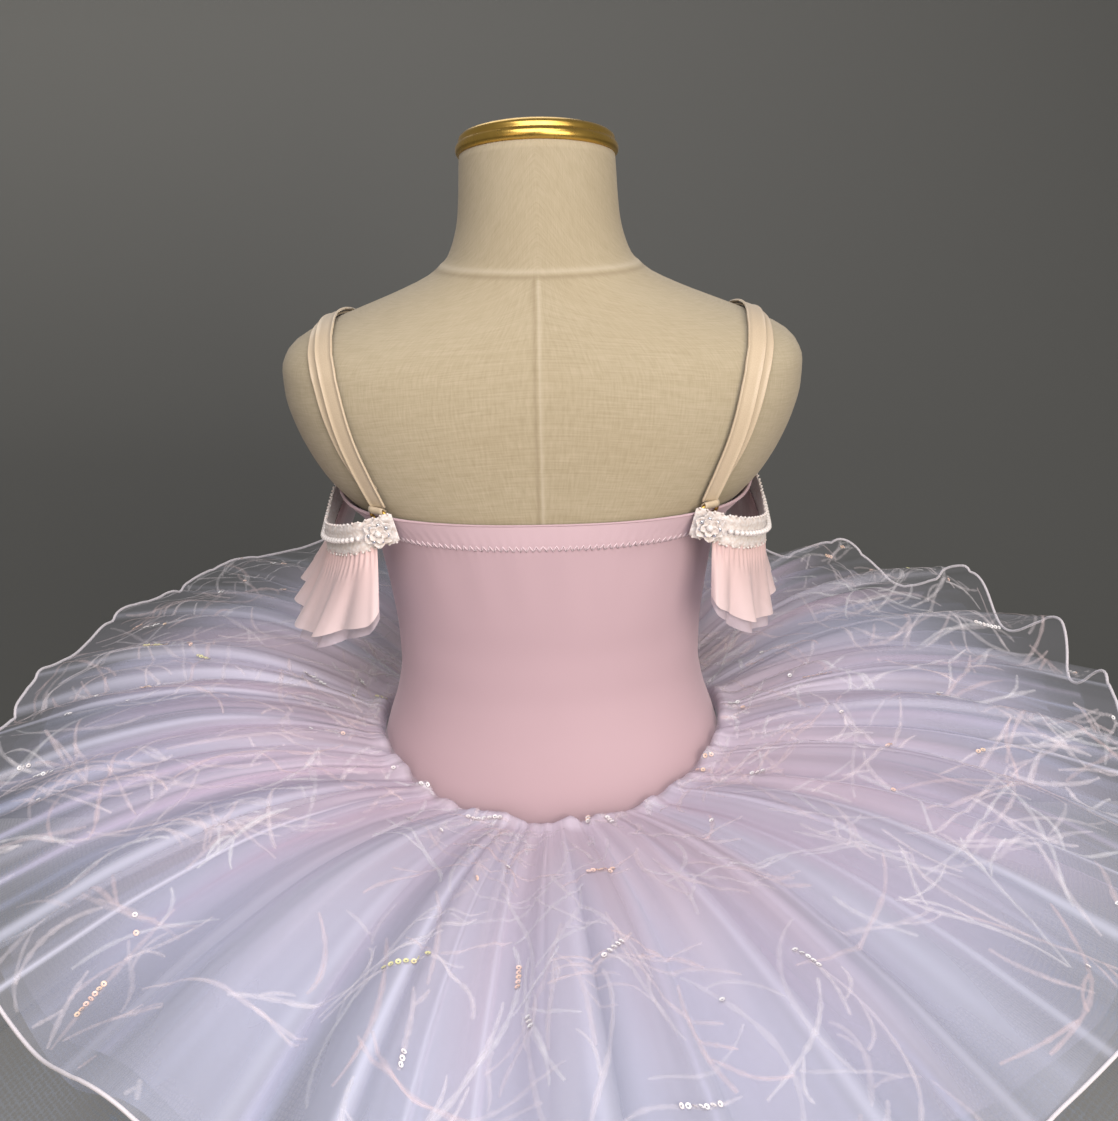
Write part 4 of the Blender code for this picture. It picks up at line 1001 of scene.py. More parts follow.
strap = {
    "pivot": 0.840,
    "rows": ((-29, 0.0915), (-15, 0.0985), (4, 0.1065), (26, 0.1130), (52, 0.1190), (90, 0.1215),
             (128, 0.1150), (160, 0.1020), (176, 0.0930)),  # turn over the shoulder in degrees, x
    "returnRows": ((-22, 0.2), (0, 0.8), (30, 1.0), (90, 0.6), (126, 0.1)),  # turn, share of the shift
    "returnShift": 0.0055,
    "width": 0.0110,
    "wall": 0.0010,
    "lift": 0.0006,
    "gap": 0.0009,
    "steps": 150,
    "returnSteps": 120,
    "sliderTurn": 132.0,
    "ringTurn": -33.0,
    "ringHalf": (0.0062, 0.0042),
    "ringWire": 0.0010,
    "sliderHalf": (0.0068, 0.0036),
    "sliderCorner": 0.35,  # the smaller, the squarer
    "sliderWire": 0.0007,
    "sliderLift": 0.0011,
    "barHalf": 0.0066,
    "barWire": 0.0006,
    "foldRows": ((-1.0, 0.0), (-0.9, 0.8), (-0.3, 1.45), (0.3, 1.45), (0.9, 0.8), (1.0, 0.0), (0.9, -0.8),
                 (0.3, -1.4)),  # the fold round the ring, seen from its side: down and out
    "foldSize": (0.0022, 0.0012),
    "foldHalf": 0.0050,
    "foldWall": 0.0005,
    "loopRadius": 0.0005,
    "loopSize": (0.0026, 0.0020, 0.0013, 0.0006),  # down, aside, the bow aside, the bow outwards
}


def strapPoint(turnDeg, x):
    # halves the reach from the pivot line until it meets the form's surface
    turn = np.radians(turnDeg)
    inside, outside = 0 * turn, 0 * turn + 0.2
    for _ in range(40):
        reach = (inside + outside) / 2
        value = formValue(x, reach * np.cos(turn), strap["pivot"] + reach * np.sin(turn))
        inside, outside = np.where(value < 0, reach, inside), np.where(value < 0, outside, reach)
    return np.stack([x, inside * np.cos(turn), strap["pivot"] + inside * np.sin(turn)], axis=-1)


def strapFrame(turnDeg, shift=0.0):
    # the strap's middle line on the form, with its outward direction and the direction across it
    point = strapPoint(turnDeg, smooth(strap["rows"], 1, turnDeg) + shift)
    normal = formNormal(point)
    across = unit(np.cross(np.gradient(point, axis=0), normal))
    return point, normal, across


def elasticMaterial():
    # plush-backed lingerie elastic: satin face between two raised woven edges
    mat, tree, shader = newMaterial("satinElastic", {
        "Roughness": 0.38, "Sheen Weight": 0.3, "Sheen Roughness": 0.35})
    plan = addNode(tree, "ShaderNodeUVMap", uv_map="clothPlan").outputs["UV"]
    # picks of 0.3 mm are drawn 0.6 mm wide
    ribs = addNode(tree, "ShaderNodeMapping", {"Scale": (1500, 1800, 1)}, {"Vector": plan})
    grain = addNode(tree, "ShaderNodeTexNoise", {"Scale": 1.0, "Detail": 1.0},
                    {"Vector": ribs.outputs["Vector"]})
    tone = addNode(tree, "ShaderNodeMix", {6: linear("#cbb391"), 7: linear("#e0ceb0")},
                   {0: grain.outputs["Fac"]}, data_type="RGBA")
    tree.links.new(tone.outputs[2], shader.inputs["Base Color"])
    bump = addNode(tree, "ShaderNodeBump", {"Strength": 0.3, "Distance": 0.0002},
                   {"Height": grain.outputs["Fac"]})
    tree.links.new(bump.outputs["Normal"], shader.inputs["Normal"])
    return mat


def strapBand(name, node, turn, shift, low, mat, side):
    # a section carried along the strap: a slightly domed satin face with a round piped edge on each side
    point, normal, across = strapFrame(turn, shift)
    half = strap["width"] / 2
    halfSection = ((-1.0, 0.0), (-1.0, 0.55), (-0.96, 1.05), (-0.88, 1.3), (-0.80, 1.05), (-0.74, 0.72),
                   (-0.4, 0.80))
    section = np.array(halfSection + ((0.0, 0.84),) + tuple((-a, b) for a, b in halfSection[::-1]))
    offset, height = section[:, 0], section[:, 1] * strap["wall"]
    grid = point[:, None] + across[:, None] * (offset * half)[None, :, None]
    grid = grid + normal[:, None] * (low + height)[None, :, None]
    along = runLengths(point)
    under = point[:, None] + across[:, None] * (offset[::-1] * half)[None, 1:-1, None]
    under = under + normal[:, None] * (low + 0.02 * strap["wall"])
    tube = np.concatenate([grid, under, grid[:, :1]], axis=1)
    width = np.append(offset, np.append(offset[1:-1][::-1], -1)) * half
    ends = point[[0, -1], None] + across[[0, -1], None] * width[None, :, None]
    ends = ends + normal[[0, -1], None] * (low + strap["wall"] / 2)  # both ends close to a flat edge
    tube = np.concatenate([ends[:1], tube, ends[1:]]) * (side, 1, 1)
    along = np.concatenate([along[:1] - 0.0006, along, along[-1:] + 0.0006])
    plan = joined(width[None, :], along[:, None])
    band = sheetMesh(name, tube, plan, mat, flip=side > 0, weld=True)
    finish(band, "nude_elastic", node)


def makeSlider(label, mirror, low, gilt):
    # a rounded wire frame with a middle bar, standing on the strap
    point, normal, across = strapFrame(strap["sliderTurn"] + np.array([-0.5, 0.0, 0.5]))
    up, wide = normal[1], across[1]
    forward = np.cross(up, wide)
    middle = point[1] + up * (low + strap["wall"] * 1.3 + strap["sliderLift"])
    turn = circle(48)[:, None]
    cos, sin = np.cos(turn), np.sin(turn)
    halfWide, halfLong = strap["sliderHalf"]
    path = middle + halfWide * np.sign(cos) * np.abs(cos) ** strap["sliderCorner"] * wide
    path = path + halfLong * np.sign(sin) * np.abs(sin) ** strap["sliderCorner"] * forward
    slider = tubePiece("slider" + label, path * mirror, strap["sliderWire"], gilt, 8, closed=True,
                       guide=up * mirror)
    finish(slider, "gilt", "slider_" + label.lower())
    bar = middle + np.linspace(-1, 1, 9)[:, None] * strap["barHalf"] * wide
    finish(tubePiece("sliderBar" + label, bar * mirror, strap["barWire"], gilt, 8), "gilt")


def makeRing(label, mirror, gilt, elastic, thread):
    # an oval ring at the strap's back end, lying on the bodice's top edge
    x = np.full(3, strap["rows"][0][1] - 0.001)
    point = strapPoint(strap["ringTurn"] + np.array([-0.5, 0.0, 0.5]), x)
    up = formNormal(point)[1]
    down = unit(np.array([0, 0, -1.0]) + up * up[2])
    wide = np.cross(up, down)
    clear = bodice["lift"] + bodice["wall"] + bodice["hemSwell"] + bodice["clearance"]
    middle = point[1] + up * (clear + strap["ringWire"])
    halfWide, halfLong = strap["ringHalf"]
    turn = circle(64)[:, None]
    path = middle + halfWide * np.cos(turn) * wide + halfLong * np.sin(turn) * down
    ring = tubePiece("ring" + label, path * mirror, strap["ringWire"], gilt, 12, closed=True,
                     guide=up * mirror)
    finish(ring, "gilt", "ring_" + label.lower())
    # the strap's end folded round the ring
    loop = np.array(strap["foldRows"])
    fold = middle - down * halfLong + loop[:, :1] * strap["foldSize"][0] * down
    fold = fold + loop[:, 1:] * strap["foldSize"][1] * up
    wides = np.linspace(-strap["foldHalf"], strap["foldHalf"], 7)
    plan = joined(np.linspace(0, 0.012, len(loop) + 1)[:, None], wides[None, :])
    grid = fold[:, None] + wides[None, :, None] * wide
    cuff = sheetMesh("strapFold" + label, grid * mirror, plan, elastic, closed=True)
    solidify(cuff, strap["foldWall"], 0)
    finish(cuff, "nude_elastic")
    # the thread loop that holds the ring to the bodice
    t = np.linspace(-0.5, math.pi + 0.5, 22)[:, None]
    drop, aside, bow, rise = strap["loopSize"]
    cord = middle + down * (halfLong + drop * -np.cos(t)) - wide * (aside - bow * np.sin(t))
    cord = cord + up * rise * np.sin(t)
    finish(tubePiece("threadLoop" + label, cord * mirror, strap["loopRadius"], thread, 6), "nude_elastic")


def makeStraps(gilt):
    # on each side a strap with its doubled end under it, a slider and a ring
    elastic = elasticMaterial()
    thread = newMaterial("sewingThread", {"Roughness": 0.55}, "#f1ddc8")[0]  # mercerised cotton, half matt
    for label, side in (("Left", 1.0), ("Right", -1.0)):
        mirror = np.array([side, 1, 1])
        low = strap["lift"] + strap["wall"] + strap["gap"]
        turn = np.linspace(strap["rows"][0][0], strap["rows"][-1][0], strap["steps"])
        strapBand("strap" + label, "strap_" + label.lower(), turn, 0.0, low, elastic, side)
        turn = np.linspace(strap["returnRows"][0][0], strap["returnRows"][-1][0], strap["returnSteps"])
        shift = strap["returnShift"] * smooth(strap["returnRows"], 1, turn)
        strapBand("strapReturn" + label, "strap_return_" + label.lower(), turn, shift, strap["lift"],
                  elastic, side)
        makeSlider(label, mirror, low, gilt)
        makeRing(label, mirror, gilt, elastic, thread)


makeStraps(gilt)
print("straps are threaded")

sleeve = {
    "rows": ((0.0835, 0.0, 0.7950), (0.1010, 0.0680, 0.7905), (0.1175, 0.0540, 0.7835),
             (0.1295, 0.0280, 0.7790), (0.1310, -0.0050, 0.7840), (0.1270, -0.0370, 0.7960),
             (0.1180, -0.0630, 0.8110), (0.1000, -0.0810, 0.8220),
             (0.0850, 0.0, 0.8270)),  # the band's middle line, back to front; both ends' y is worked out
    "endTurnDeg": 50.0,
    "height": 0.0160,
    "wall": 0.0014,
    "scallopDepth": 0.0012,
    "scallops": 26,
    "relief": 0.0004,
    "ridges": 0.00035,
    "columns": 15,  # points across the band's face
    "flatWidth": 0.017,
    "ruffleStart": 0.06,
    "ruffleEnd": 0.80,
    "ruffleLength": 0.045,
    "ruffleFlare": {"Left": 0.022, "Right": 0.005},
    "ruffleShort": 0.30,
    "ruffleReach": 0.16,
    "ruffleWaves": 7,
    "ruffleHeight": 0.0062,
    "gathers": 46,
    "gatherHeight": 0.0006,
    "ruffleGrid": (260, 34),  # points along and down a ruffle
    "planWidth": 0.30,
    "planHeight": 0.05,
    "ruffles": (  # name, longer, lift off the band's line, extra flare, flat size
        ("ruffleUpper", 0.0, 0.0006, 0.0, (0.24, 0.046)),
        ("ruffleSheer", 0.0075, -0.0006, -0.0015, (0.25, 0.053)),
    ),
    "pearlRadius": 0.00175,
    "pearlPitch": 0.0039,
    "picotRadius": 0.00085,
}


def sewnY(x, z, side):
    # the y at which an upright band just clears the bodice
    half = sleeve["height"] / 2 + sleeve["scallopDepth"]
    edge = bodiceTop(side * math.radians(sleeve["endTurnDeg"]))
    levels = np.minimum(z + half * np.array([-1.0, 0.0, 1.0]), edge)
    wide, deep, middle, power = formSize(levels)
    y = middle + side * deep * (1 - (x / wide) ** power) ** (1 / power)
    normal = formNormal(np.stack([x + 0 * y, y, levels], axis=-1))
    reach = bodice["lift"] + bodice["wall"] + bodice["hemSwell"] + bodice["clearance"]
    return side * (side * y + reach / np.abs(normal[:, 1])).max()


def bandFrame(share):
    # the band's middle line with its outward and its upward direction
    knots = np.array(sleeve["rows"])
    knots[0, 1] = sewnY(knots[0, 0], knots[0, 2], 1.0)
    knots[-1, 1] = sewnY(knots[-1, 0], knots[-1, 2], -1.0)
    reach = runLengths(knots)
    point = joined(*[smooth(joined(reach / reach[-1], knots[:, i]), 1, share) for i in range(3)])
    along = unit(np.gradient(point, axis=0))
    up = unit(np.array([0.0, 0.0, 1.0]) - along * along[:, 2:])
    return point, np.cross(up, along), up


def laceMaterial():
    # guipure lace: thick matt embroidery thread, ivory, with stitch knots about 2 mm apart
    mat, tree, shader = newMaterial("ivoryLace", {"Roughness": 0.85, "Sheen Weight": 0.3})
    place = addNode(tree, "ShaderNodeTexCoord").outputs["Object"]
    cells = addNode(tree, "ShaderNodeTexVoronoi", {"Scale": 520.0}, {"Vector": place}, feature="F1")
    tone = addNode(tree, "ShaderNodeMapRange", {"To Min": 1.0, "To Max": 0.0, "From Max": 0.8},
                   {"Value": cells.outputs["Distance"]})
    colour = addNode(tree, "ShaderNodeMix", {6: linear("#ecdccf"), 7: linear("#fff9f2")},
                     {0: tone.outputs[0]}, data_type="RGBA")
    tree.links.new(colour.outputs[2], shader.inputs["Base Color"])
    bump = addNode(tree, "ShaderNodeBump", {"Strength": 0.45, "Distance": 0.0005},
                   {"Height": tone.outputs[0]})
    tree.links.new(bump.outputs["Normal"], shader.inputs["Normal"])
    return mat


def beads(name, centres, directions, profile, mat, sides=8):
    # one small turned shape, (radius, height) rows along its own direction, at each centre
    turn = circle(sides)[None, None, :, None]
    guide = np.where(np.abs(directions[:, 2:]) < 0.9, np.array([[0, 0, 1.0]]), np.array([[1.0, 0, 0]]))
    across = unit(np.cross(guide, directions))
    other = np.cross(directions, across)
    rows = np.array(profile)
    ring = across[:, None, None] * np.cos(turn) + other[:, None, None] * np.sin(turn)
    points = centres[:, None, None] + ring * rows[None, :, 0, None, None]
    points = points + directions[:, None, None] * rows[None, :, 1, None, None]
    quads = quadFaces(len(rows), sides, closedCols=True)[:, [0, 3, 2, 1]]
    return meshObject(name, points.reshape(-1, 3), repeated(quads, len(centres), len(rows) * sides), mat)


def ballProfile(radius, rows=6):
    # half a circle from pole to pole, open by a hair at both
    turn = np.linspace(-math.pi / 2 + 0.02, math.pi / 2 - 0.02, rows)
    return [(radius * math.cos(a), radius * math.sin(a)) for a in turn]


def chiffonMaterial(name, colour, outer, cover):
    # polyester chiffon, soft and half sheer, cut raw at the edge
    mat, tree, shader = newMaterial(name, {"Roughness": 0.7, "Sheen Weight": 0.3, "Alpha": cover})
    drop = addNode(tree, "ShaderNodeAttribute", attribute_name="outward").outputs["Fac"]
    mix = addNode(tree, "ShaderNodeMix", {6: linear(colour), 7: linear(outer)}, {0: drop}, data_type="RGBA")
    tree.links.new(mix.outputs[2], shader.inputs["Base Color"])
    return mat


def ruffleGrid(label, side, longer, lift, extra):
    # hangs from the band's lower edge: outward = flare + folds that grow downwards + gathers near the top,
    # and the back end is cut shorter
    part = np.linspace(0, 1, sleeve["ruffleGrid"][0])[:, None]
    drop = np.linspace(0, 1, sleeve["ruffleGrid"][1])[None, :]
    share = sleeve["ruffleStart"] + part[:, 0] * (sleeve["ruffleEnd"] - sleeve["ruffleStart"])
    point, out, up = bandFrame(share)
    turns = sleeve["ruffleWaves"] * part + 0.22 * np.sin(9 * part)
    size = 0.65 + 0.35 * np.sin(2 * math.pi * (1.7 * part + 0.3))
    wave = size * np.sin(2 * math.pi * turns) * drop ** 1.4
    wave = wave + 0.07 * np.sin(2 * math.pi * 2.4 * turns) * drop
    gather = sleeve["gatherHeight"] * np.sin(2 * math.pi * sleeve["gathers"] * part + 2 * np.sin(11 * part))
    gather = gather * bell(drop, 0.1, 0.18)
    outward = (sleeve["ruffleFlare"][label] + extra) * drop ** 1.3 + sleeve["ruffleHeight"] * wave
    outward = outward + gather + lift
    short = sleeve["ruffleShort"] * np.clip(1 - part / sleeve["ruffleReach"], 0, 1) ** 2
    flatOut = unit(out * (1, 1, 0))
    top = point - up * (sleeve["height"] / 2 - 0.001)
    grid = top[:, None] + flatOut[:, None] * outward[..., None]
    grid[..., 2] -= (sleeve["ruffleLength"] + 0.001 + longer) * (1 - short) * drop
    grid = grid * (side, 1, 1)
    plan = joined(part * sleeve["planWidth"], -drop * sleeve["planHeight"])
    return grid, plan, np.broadcast_to(drop, wave.shape)


flower = {
    "share": 0.045,
    "petalRings": ((6, 0.0088, 0.0006, 0.3), (5, 0.0055, 0.0019, 0.9)),  # petals, length, lift, turn
    "petalGrid": (9, 7),  # points along and across a petal
    "petalWall": 0.0005,
    "pearlRadius": 0.0021,
    "pearlLift": 0.0034,
    "stones": 7,
    "stoneRing": (0.0056, 0.0050, 0.0022),  # reach sideways and upwards, height
    "stoneProfile": ((0.0001, 0.0), (0.0012, 0.0), (0.0013, 0.0003), (0.0008, 0.0009), (0.0001, 0.0009)),
}


def petalGrids(count, length, lift, startTurn):
    # a petal is a leaf-shaped patch: width sin(pi t) ^ 0.7, cupped across and turned up at its tip
    t = np.linspace(0, 1, flower["petalGrid"][0])[None, :, None]
    s = np.linspace(-1, 1, flower["petalGrid"][1])[None, None, :]
    turn = startTurn + np.arange(count)[:, None, None] * 2 * math.pi / count
    radius = length * t
    wide = 0.46 * length * np.sin(math.pi * np.clip(t * 0.93 + 0.05, 0, 1)) ** 0.7 * s
    height = lift + 0.0008 * s * s + 0.0016 * t ** 2 + 0.0002 * np.cos(9 * s)
    x = radius * np.cos(turn) - wide * np.sin(turn)
    y = radius * np.sin(turn) + wide * np.cos(turn)
    return joined(x, y, height)


def makeFlower(label, side, lace, pearl, glass):
    # two rings of petals, a pearl in the middle and a ring of stones
    point, out, up = bandFrame(np.linspace(0, 2 * flower["share"], 3))
    middle, forward = point[1] + out[1] * (sleeve["wall"] + 0.0002), out[1]
    axes = np.stack([np.cross(up[1], forward), up[1], forward])
    mirror = np.array([side, 1, 1])
    quads, size = quadFaces(*flower["petalGrid"]), flower["petalGrid"][0] * flower["petalGrid"][1]
    points, faces = [], []
    for count, length, lift, startTurn in flower["petalRings"]:
        local = petalGrids(count, length, lift, startTurn).reshape(-1, 3)
        faces.append(repeated(quads, count, size) + sum(len(part) for part in points))
        points.append(middle + local @ axes)
    petals = meshObject("flower" + label, np.concatenate(points) * mirror, np.concatenate(faces), lace)
    solidify(petals, flower["petalWall"], 0)
    finish(petals, "ivory_lace", "rosette_" + label.lower())
    centre = (middle + forward * flower["pearlLift"])[None] * mirror
    finish(beads("flowerPearl" + label, centre, forward[None] * mirror, ballProfile(flower["pearlRadius"], 8),
                 pearl, 12), "ivory_lace")
    # faceted stones round the pearl
    turn = np.arange(flower["stones"]) / flower["stones"] * 2 * math.pi + 0.4
    wide, tall, height = flower["stoneRing"]
    place = middle + joined(wide * np.cos(turn), tall * np.sin(turn), height) @ axes
    finish(beads("flowerStones" + label, place * mirror, np.broadcast_to(forward * mirror, place.shape),
                 flower["stoneProfile"], glass, 6), "ivory_lace")


def makeBand(label, side, lace, pearl):
    # an upright strip along the band's line: a padded face joined to a flat back, with scalloped edges
    mirror = np.array([side, 1, 1])
    share = np.linspace(0, 1, 300)
    point, out, up = bandFrame(share)
    leaves = np.abs(np.sin(math.pi * sleeve["scallops"] * share))
    scallop = sleeve["scallopDepth"] * leaves ** 0.7
    half = sleeve["height"] / 2
    columns, wide = sleeve["columns"], sleeve["flatWidth"]
    level = np.linspace(-1, 1, columns)[None, :] * (half + scallop - 0.0002)[:, None]
    # padded embroidery: low leaf shapes along the band's two edges
    relief = sleeve["relief"] * leaves[:, None] * (np.abs(level) / half) ** 2
    relief = relief + sleeve["ridges"] * np.cos(level / half * 9)
    back = point[:, None] + up[:, None] * level[..., None]
    face = back + out[:, None] * (sleeve["wall"] - 0.0004 + relief)[..., None]
    tube = np.concatenate([face, back[:, ::-1], face[:, :1]], axis=1)
    close = (tube + np.concatenate([back, face[:, ::-1], back[:, :1]], axis=1)) / 2
    tube = np.concatenate([close[:1], tube, close[-1:]]) * mirror
    length = runLengths(point)
    # the face and the back lie 1 mm apart in the flat cloth
    spread = np.linspace(0, wide, columns)
    spread = np.concatenate([spread, spread + wide + 0.001, [2 * wide + 0.002]])
    plan = joined(np.concatenate([length[:1], length, length[-1:]])[:, None], spread[None, :])
    band = sheetMesh("laceBand" + label, tube, plan, lace, flip=side < 0, weld=True)
    finish(band, "ivory_lace", "sleeve_band_" + label.lower())

    # picot knots on both scalloped edges, pearls down the middle
    outward = np.stack([out, up], axis=1)
    knots = sleeve["scallops"] * 2
    index = (np.arange(knots) + 0.5) / knots * (len(share) - 1)
    away = unit(readGrid(outward, index, 0 * index, closed=False)) * mirror
    for suffix, column in (("Lower", 0.0), ("Upper", 0.999)):
        centre = readGrid(face[:, ::columns - 1], index, 0 * index + column, closed=False) * mirror
        finish(beads("picot" + suffix + label, centre, away, ballProfile(sleeve["picotRadius"], 5), lace, 6),
               "ivory_lace")
    count = int(float(length[-1]) * 0.93 / sleeve["pearlPitch"])
    index = np.linspace(0.10, 0.97, count) * (len(share) - 1)
    away = unit(readGrid(outward, index, 0 * index, closed=False))
    centre = readGrid(face, index, 0 * index + columns // 2, closed=False)
    centre = centre + away * sleeve["pearlRadius"] * 0.85
    finish(beads("pearls" + label, centre * mirror, away * mirror, ballProfile(sleeve["pearlRadius"]), pearl),
           "ivory_lace")


def makeSleeves():
    # on each side a lace band with two ruffles under it and a flower at its back end
    lace = laceMaterial()
    cloths = {
        "ruffleUpper": chiffonMaterial("peachChiffon", "#fbd6cd", "#fce2dc", 0.80),
        "ruffleSheer": chiffonMaterial("sheerChiffon", "#eec9c6", "#ead6da", 0.55),
    }
    # plastic pearls with a pearl lacquer, and cut glass stones with foil behind them
    pearl = newMaterial("pearl", {
        "Roughness": 0.18, "Coat Weight": 0.6, "Coat Roughness": 0.12}, "#f7efe6")[0]
    glass = newMaterial("foiledGlass", {"Metallic": 0.85, "Roughness": 0.06}, "#dfe3ea")[0]
    for label, side in (("Left", 1.0), ("Right", -1.0)):
        makeBand(label, side, lace, pearl)
        for name, longer, lift, extra, flat in sleeve["ruffles"]:
            grid, plan, drop = ruffleGrid(label, side, longer, lift, extra)
            ruffle = sheetMesh(name + label, grid, plan, cloths[name], flip=side > 0,
                               attributes={"outward": drop.ravel()})
            finish(ruffle, "peach_chiffon", "sleeve_ruffle_" + label.lower())
        makeFlower(label, side, lace, pearl, glass)


makeSleeves()
print("sleeves are beaded")

stitch = {
    "seed": 7,
    "twigs": 640,
    "steps": 24,
    "branchSteps": 13,
    "seamReach": 0.10,  # distances of the seam and of the hem from the middle
    "hemReach": 0.37,
    "flatWidth": 0.30,
    "headingTwigs": 120,
    "headingReach": (0.008, 0.050),  # the part beside the seam where they start
    "halfWidth": 0.0015,
    "rise": 0.00035,
    "lift": 0.0004,  # of the twigs, the forks and the sequins off the cloth
    "forkLift": 0.0005,
    "sequinLift": 0.0011,
    "wander": 0.50,  # radians, how far the twigs turn away from the straight way to the hem
    "lengths": (0.035, 0.110),
    "shortLengths": (0.012, 0.040),
    "covers": (0.22, 0.42),
    "backThin": 0.30,
    "forkChances": (0.85, 0.5),
    "chains": 105,
    "chainSizes": (1, 1, 1, 2, 3, 5, 7),
    "sequinRadius": 0.0015,
    "sequinPitch": 2.15,  # in radii
    "sequinColours": ("#fffdfb", "#ffd8c6", "#f6f2b4"),
    "threadColours": ("#ffffff", "#fdf2f4", "#f8dcd8"),
    "hemRadius": 0.0010,
}


def ringReach(y):
    # distance from the middle of a point of the skirt this far out along the cloth
    return stitch["seamReach"] + (stitch["hemReach"] - stitch["seamReach"]) * y / stitch["flatWidth"]


def twigPaths(rng, start, heading, length, steps):
    # a twig curves slowly round one way, and stops short of the seam and the hem;
    # x is the turn round the skirt in radians and y the distance from the seam
    count = len(start)
    turn = rng.choice([-1, 1], (count, 1)) * rng.uniform(0.1, 1.3, (count, 1))
    bend = turn + rng.normal(0, 0.9, (count, 1)) * np.linspace(-1, 1, steps)
    angle = heading[:, None] + np.cumsum(bend, axis=1) / steps
    step = (length / (steps - 1))[:, None]
    y = start[:, 1:] + np.cumsum(np.sin(angle) * step, axis=1)
    x = start[:, :1] + np.cumsum(np.cos(angle) * step / ringReach(np.clip(y, 0, 0.3)), axis=1)
    low, high = 0.006, stitch["flatWidth"] * 0.985
    beyond = (y < low) | (y > high)
    stop = np.where(beyond.any(axis=1), np.maximum(np.argmax(beyond, axis=1) - 1, 1), steps - 1)
    at = np.linspace(0, 1, steps)[None, :] * stop[:, None]
    i = np.clip(at.astype(int), 0, steps - 2)
    t, row = at - i, np.arange(count)[:, None]
    x = x[row, i] * (1 - t) + x[row, i + 1] * t
    y = np.clip(y[row, i] * (1 - t) + y[row, i + 1] * t, low, high)
    return x, y, angle[row, i]


def onOverskirt(x, y, lift):
    # the point of the skirt at a turn x and a distance y from the seam, just off the cloth
    grid, share = grids["embroideredSkirt"]
    rows = grid.shape[0]
    u = (x / (2 * math.pi)) % 1 * rows
    v = np.interp(y / stitch["flatWidth"], share, np.arange(len(share)))
    normal = gridNormals(grid, closed=True)
    normal = normal * np.sign(normal[..., 2:])
    point, up = readGrid(grid, u, v), unit(readGrid(normal, u, v))
    return point + up * lift, up


def ribbons(name, paths, normals, half, rise, tones, covers, mat):
    # flat strips, low domes across: three points at each step, narrowing to both ends;
    # the cover is full along the middle and fades to the fluffy sides
    count, steps = paths.shape[:2]
    along = unit(np.gradient(paths, axis=1))
    across = unit(np.cross(along, normals))
    taper = 0.35 + 0.65 * np.sin(math.pi * np.linspace(0.02, 0.98, steps)) ** 0.4
    # the chain stitch is uneven
    taper = taper * np.random.default_rng(steps).uniform(0.7, 1.3, (count, steps))
    offset = np.array([-1.0, 0.0, 1.0])[None, None, :, None] * half * taper[..., None, None]
    dome = np.array([0.0, 1.0, 0.0])[None, None, :, None] * rise
    points = paths[:, :, None] + across[:, :, None] * offset + normals[:, :, None] * dome
    faces = repeated(quadFaces(steps, 3)[:, [0, 3, 2, 1]], count, steps * 3)
    tone = np.broadcast_to(tones[:, None, None], (count, steps, 3))
    cover = covers[:, :, None] * np.array([0.45, 1.0, 0.45])
    piece = meshObject(name, points.reshape(-1, 3), faces, mat, attributes={
        "tone": tone.ravel(), "fluff": cover.ravel()})
    piece.visible_shadow = False  # the thread lies in the net and throws no shadow of its own on it
    return piece


def threadMaterial():
    # loose rayon chain stitch, fluffy and matt, thin enough to let the cloth show through
    mat, tree, shader = newMaterial("embroideryThread", {"Roughness": 0.8})
    tone = addNode(tree, "ShaderNodeAttribute", attribute_name="tone").outputs["Fac"]
    ramp = addNode(tree, "ShaderNodeValToRGB", links={"Fac": tone})
    stops = ramp.color_ramp.elements
    stops[0].color, stops[1].color = linear(stitch["threadColours"][0]), linear(stitch["threadColours"][2])
    stops.new(0.55).color = linear(stitch["threadColours"][1])
    tree.links.new(ramp.outputs["Color"], shader.inputs["Base Color"])
    fluff = addNode(tree, "ShaderNodeAttribute", attribute_name="fluff").outputs["Fac"]
    tree.links.new(fluff, shader.inputs["Alpha"])
    return mat


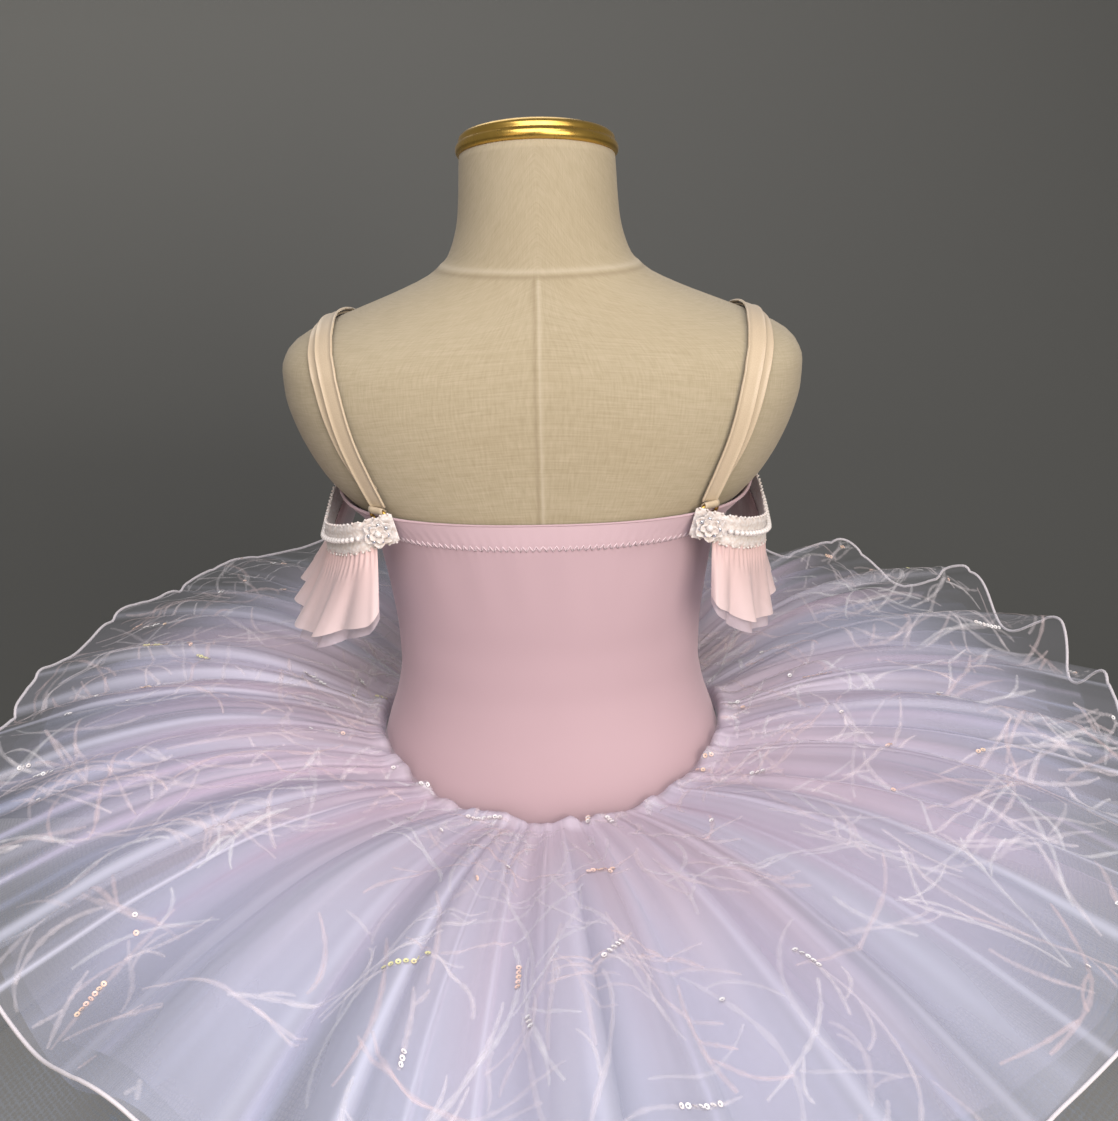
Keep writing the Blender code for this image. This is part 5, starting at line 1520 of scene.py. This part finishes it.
def makeTwigs(rng):
    # gives the twigs' places in the flat cloth, for the sequins
    thread = threadMaterial()
    count = stitch["twigs"]
    # as many twigs to the area near the seam as near the hem
    reach = np.sqrt(rng.uniform(stitch["seamReach"] ** 2, stitch["hemReach"] ** 2, count))
    out = (reach - stitch["seamReach"]) / (stitch["hemReach"] - stitch["seamReach"]) * stitch["flatWidth"]
    start = np.stack([rng.uniform(0, 2 * math.pi, count), np.clip(out, 0.01, 0.29)], axis=-1)
    heading = rng.choice([-1, 1], count) * (math.pi / 2 + rng.normal(0, stitch["wander"], count))
    length = rng.uniform(*stitch["lengths"], count) * np.clip(0.35 + out / 0.15, 0.35, 1)
    tones = rng.uniform(0, 1, count) ** 0.8
    # short twigs also cross the gathered heading
    first = count - stitch["headingTwigs"]
    start[first:, 1] = rng.uniform(*stitch["headingReach"], stitch["headingTwigs"])
    length[first:] = rng.uniform(*stitch["shortLengths"], stitch["headingTwigs"])
    x, y, angle = twigPaths(rng, start, heading, length, stitch["steps"])
    covers = rng.uniform(*stitch["covers"], (count, 1)) * rng.uniform(0.6, 1.0, (count, stitch["steps"]))
    # the thread shows less on the close cloth at the back
    covers = covers * (1.0 - stitch["backThin"] * ease(2.2 * np.sin(x) - 1.2))
    path, up = onOverskirt(x, y, stitch["lift"])
    twigs = ribbons("embroideryTwigs", path, up, stitch["halfWidth"], stitch["rise"], tones, covers, thread)
    finish(twigs, "embroidered_tulle")
    # most twigs fork once or twice
    row = np.arange(count)
    parts = []
    for chance in stitch["forkChances"]:
        keep = rng.uniform(0, 1, count) < chance
        at = rng.integers(3, stitch["steps"] - 5, count)
        side = rng.choice([-1, 1], count)
        fork = np.stack([x[row, at], y[row, at]], axis=-1)
        aim = angle[row, at] + side * rng.uniform(0.25, 0.65, count)
        short = length[keep] * rng.uniform(0.25, 0.55, keep.sum())
        forkX, forkY, _ = twigPaths(rng, fork[keep], aim[keep], short, stitch["branchSteps"])
        parts.append((forkX, forkY, tones[keep], covers[keep, :stitch["branchSteps"]]))
    forkX, forkY, tones, covers = [np.concatenate(group) for group in zip(*parts)]
    path, up = onOverskirt(forkX, forkY, stitch["forkLift"])
    forks = ribbons("embroideryForks", path, up, stitch["halfWidth"] * 0.8, stitch["rise"], tones, covers,
                    thread)
    finish(forks, "embroidered_tulle")
    return x, y


def makeSequins(rng, x, y):
    # short chains along some twigs; the third value of a spot picks its colour
    spots = []
    for _ in range(stitch["chains"]):
        twig, many = rng.integers(0, stitch["twigs"]), rng.choice(stitch["chainSizes"])
        run = np.append(0, np.cumsum(np.hypot(np.diff(x[twig]) * ringReach(y[twig, 1:]), np.diff(y[twig]))))
        at = rng.uniform(0, 0.7) * run[-1] + np.arange(many) * stitch["sequinPitch"] * stitch["sequinRadius"]
        at = at[at < run[-1]]
        pick = rng.choice([0, 0, 0, 0, 1, 1, 1, 1, 2])
        spots.append(joined(np.interp(at, run, x[twig]), np.interp(at, run, y[twig]), pick))
    spots = np.concatenate(spots)
    place, up = onOverskirt(spots[:, 0], spots[:, 1], stitch["sequinLift"])
    up = unit(up + rng.normal(0, 0.22, up.shape))
    radius = stitch["sequinRadius"]
    cup = ((0.34 * radius, 0.00005), (0.66 * radius, 0.0), (radius, 0.0003))
    # clear plastic sequins with an iridescent film: glossy, from white to peach and pale yellow
    disc, tree, shader = newMaterial("iridescentSequin", {
        "Roughness": 0.2, "Coat Weight": 0.5, "Coat Roughness": 0.1})
    film = addNode(tree, "ShaderNodeAttribute", attribute_name="film").outputs["Fac"]
    ramp = addNode(tree, "ShaderNodeValToRGB", links={"Fac": film})
    stops = ramp.color_ramp.elements
    stops[0].color, stops[1].color = linear(stitch["sequinColours"][0]), linear(stitch["sequinColours"][2])
    stops.new(0.5).color = linear(stitch["sequinColours"][1])
    tree.links.new(ramp.outputs["Color"], shader.inputs["Base Color"])
    sequins = beads("sequins", place, up, cup, disc, 8)
    shade = np.repeat(spots[:, 2] / 2 + rng.uniform(-0.12, 0.12, len(spots)), len(cup) * 8)
    data = sequins.data.attributes.new("film", "FLOAT", "POINT")
    data.data.foreach_set("value", np.clip(shade, 0, 1).astype(np.float32))
    finish(sequins, "embroidered_tulle")


def makeHemCord():
    # the hem is rolled over a soft white cord, held by fluffy overlock thread
    edge = grids["embroideredSkirt"][0][::2, -1]
    roll = newMaterial("rolledHem", {"Roughness": 0.8, "Sheen Weight": 0.4}, "#e8e1e3")[0]
    finish(tubePiece("hemCord", edge, stitch["hemRadius"], roll, 6, closed=True), "embroidered_tulle")


stitchRandom = np.random.default_rng(stitch["seed"])
makeSequins(stitchRandom, *makeTwigs(stitchRandom))
makeHemCord()
print("overskirt is embroidered")
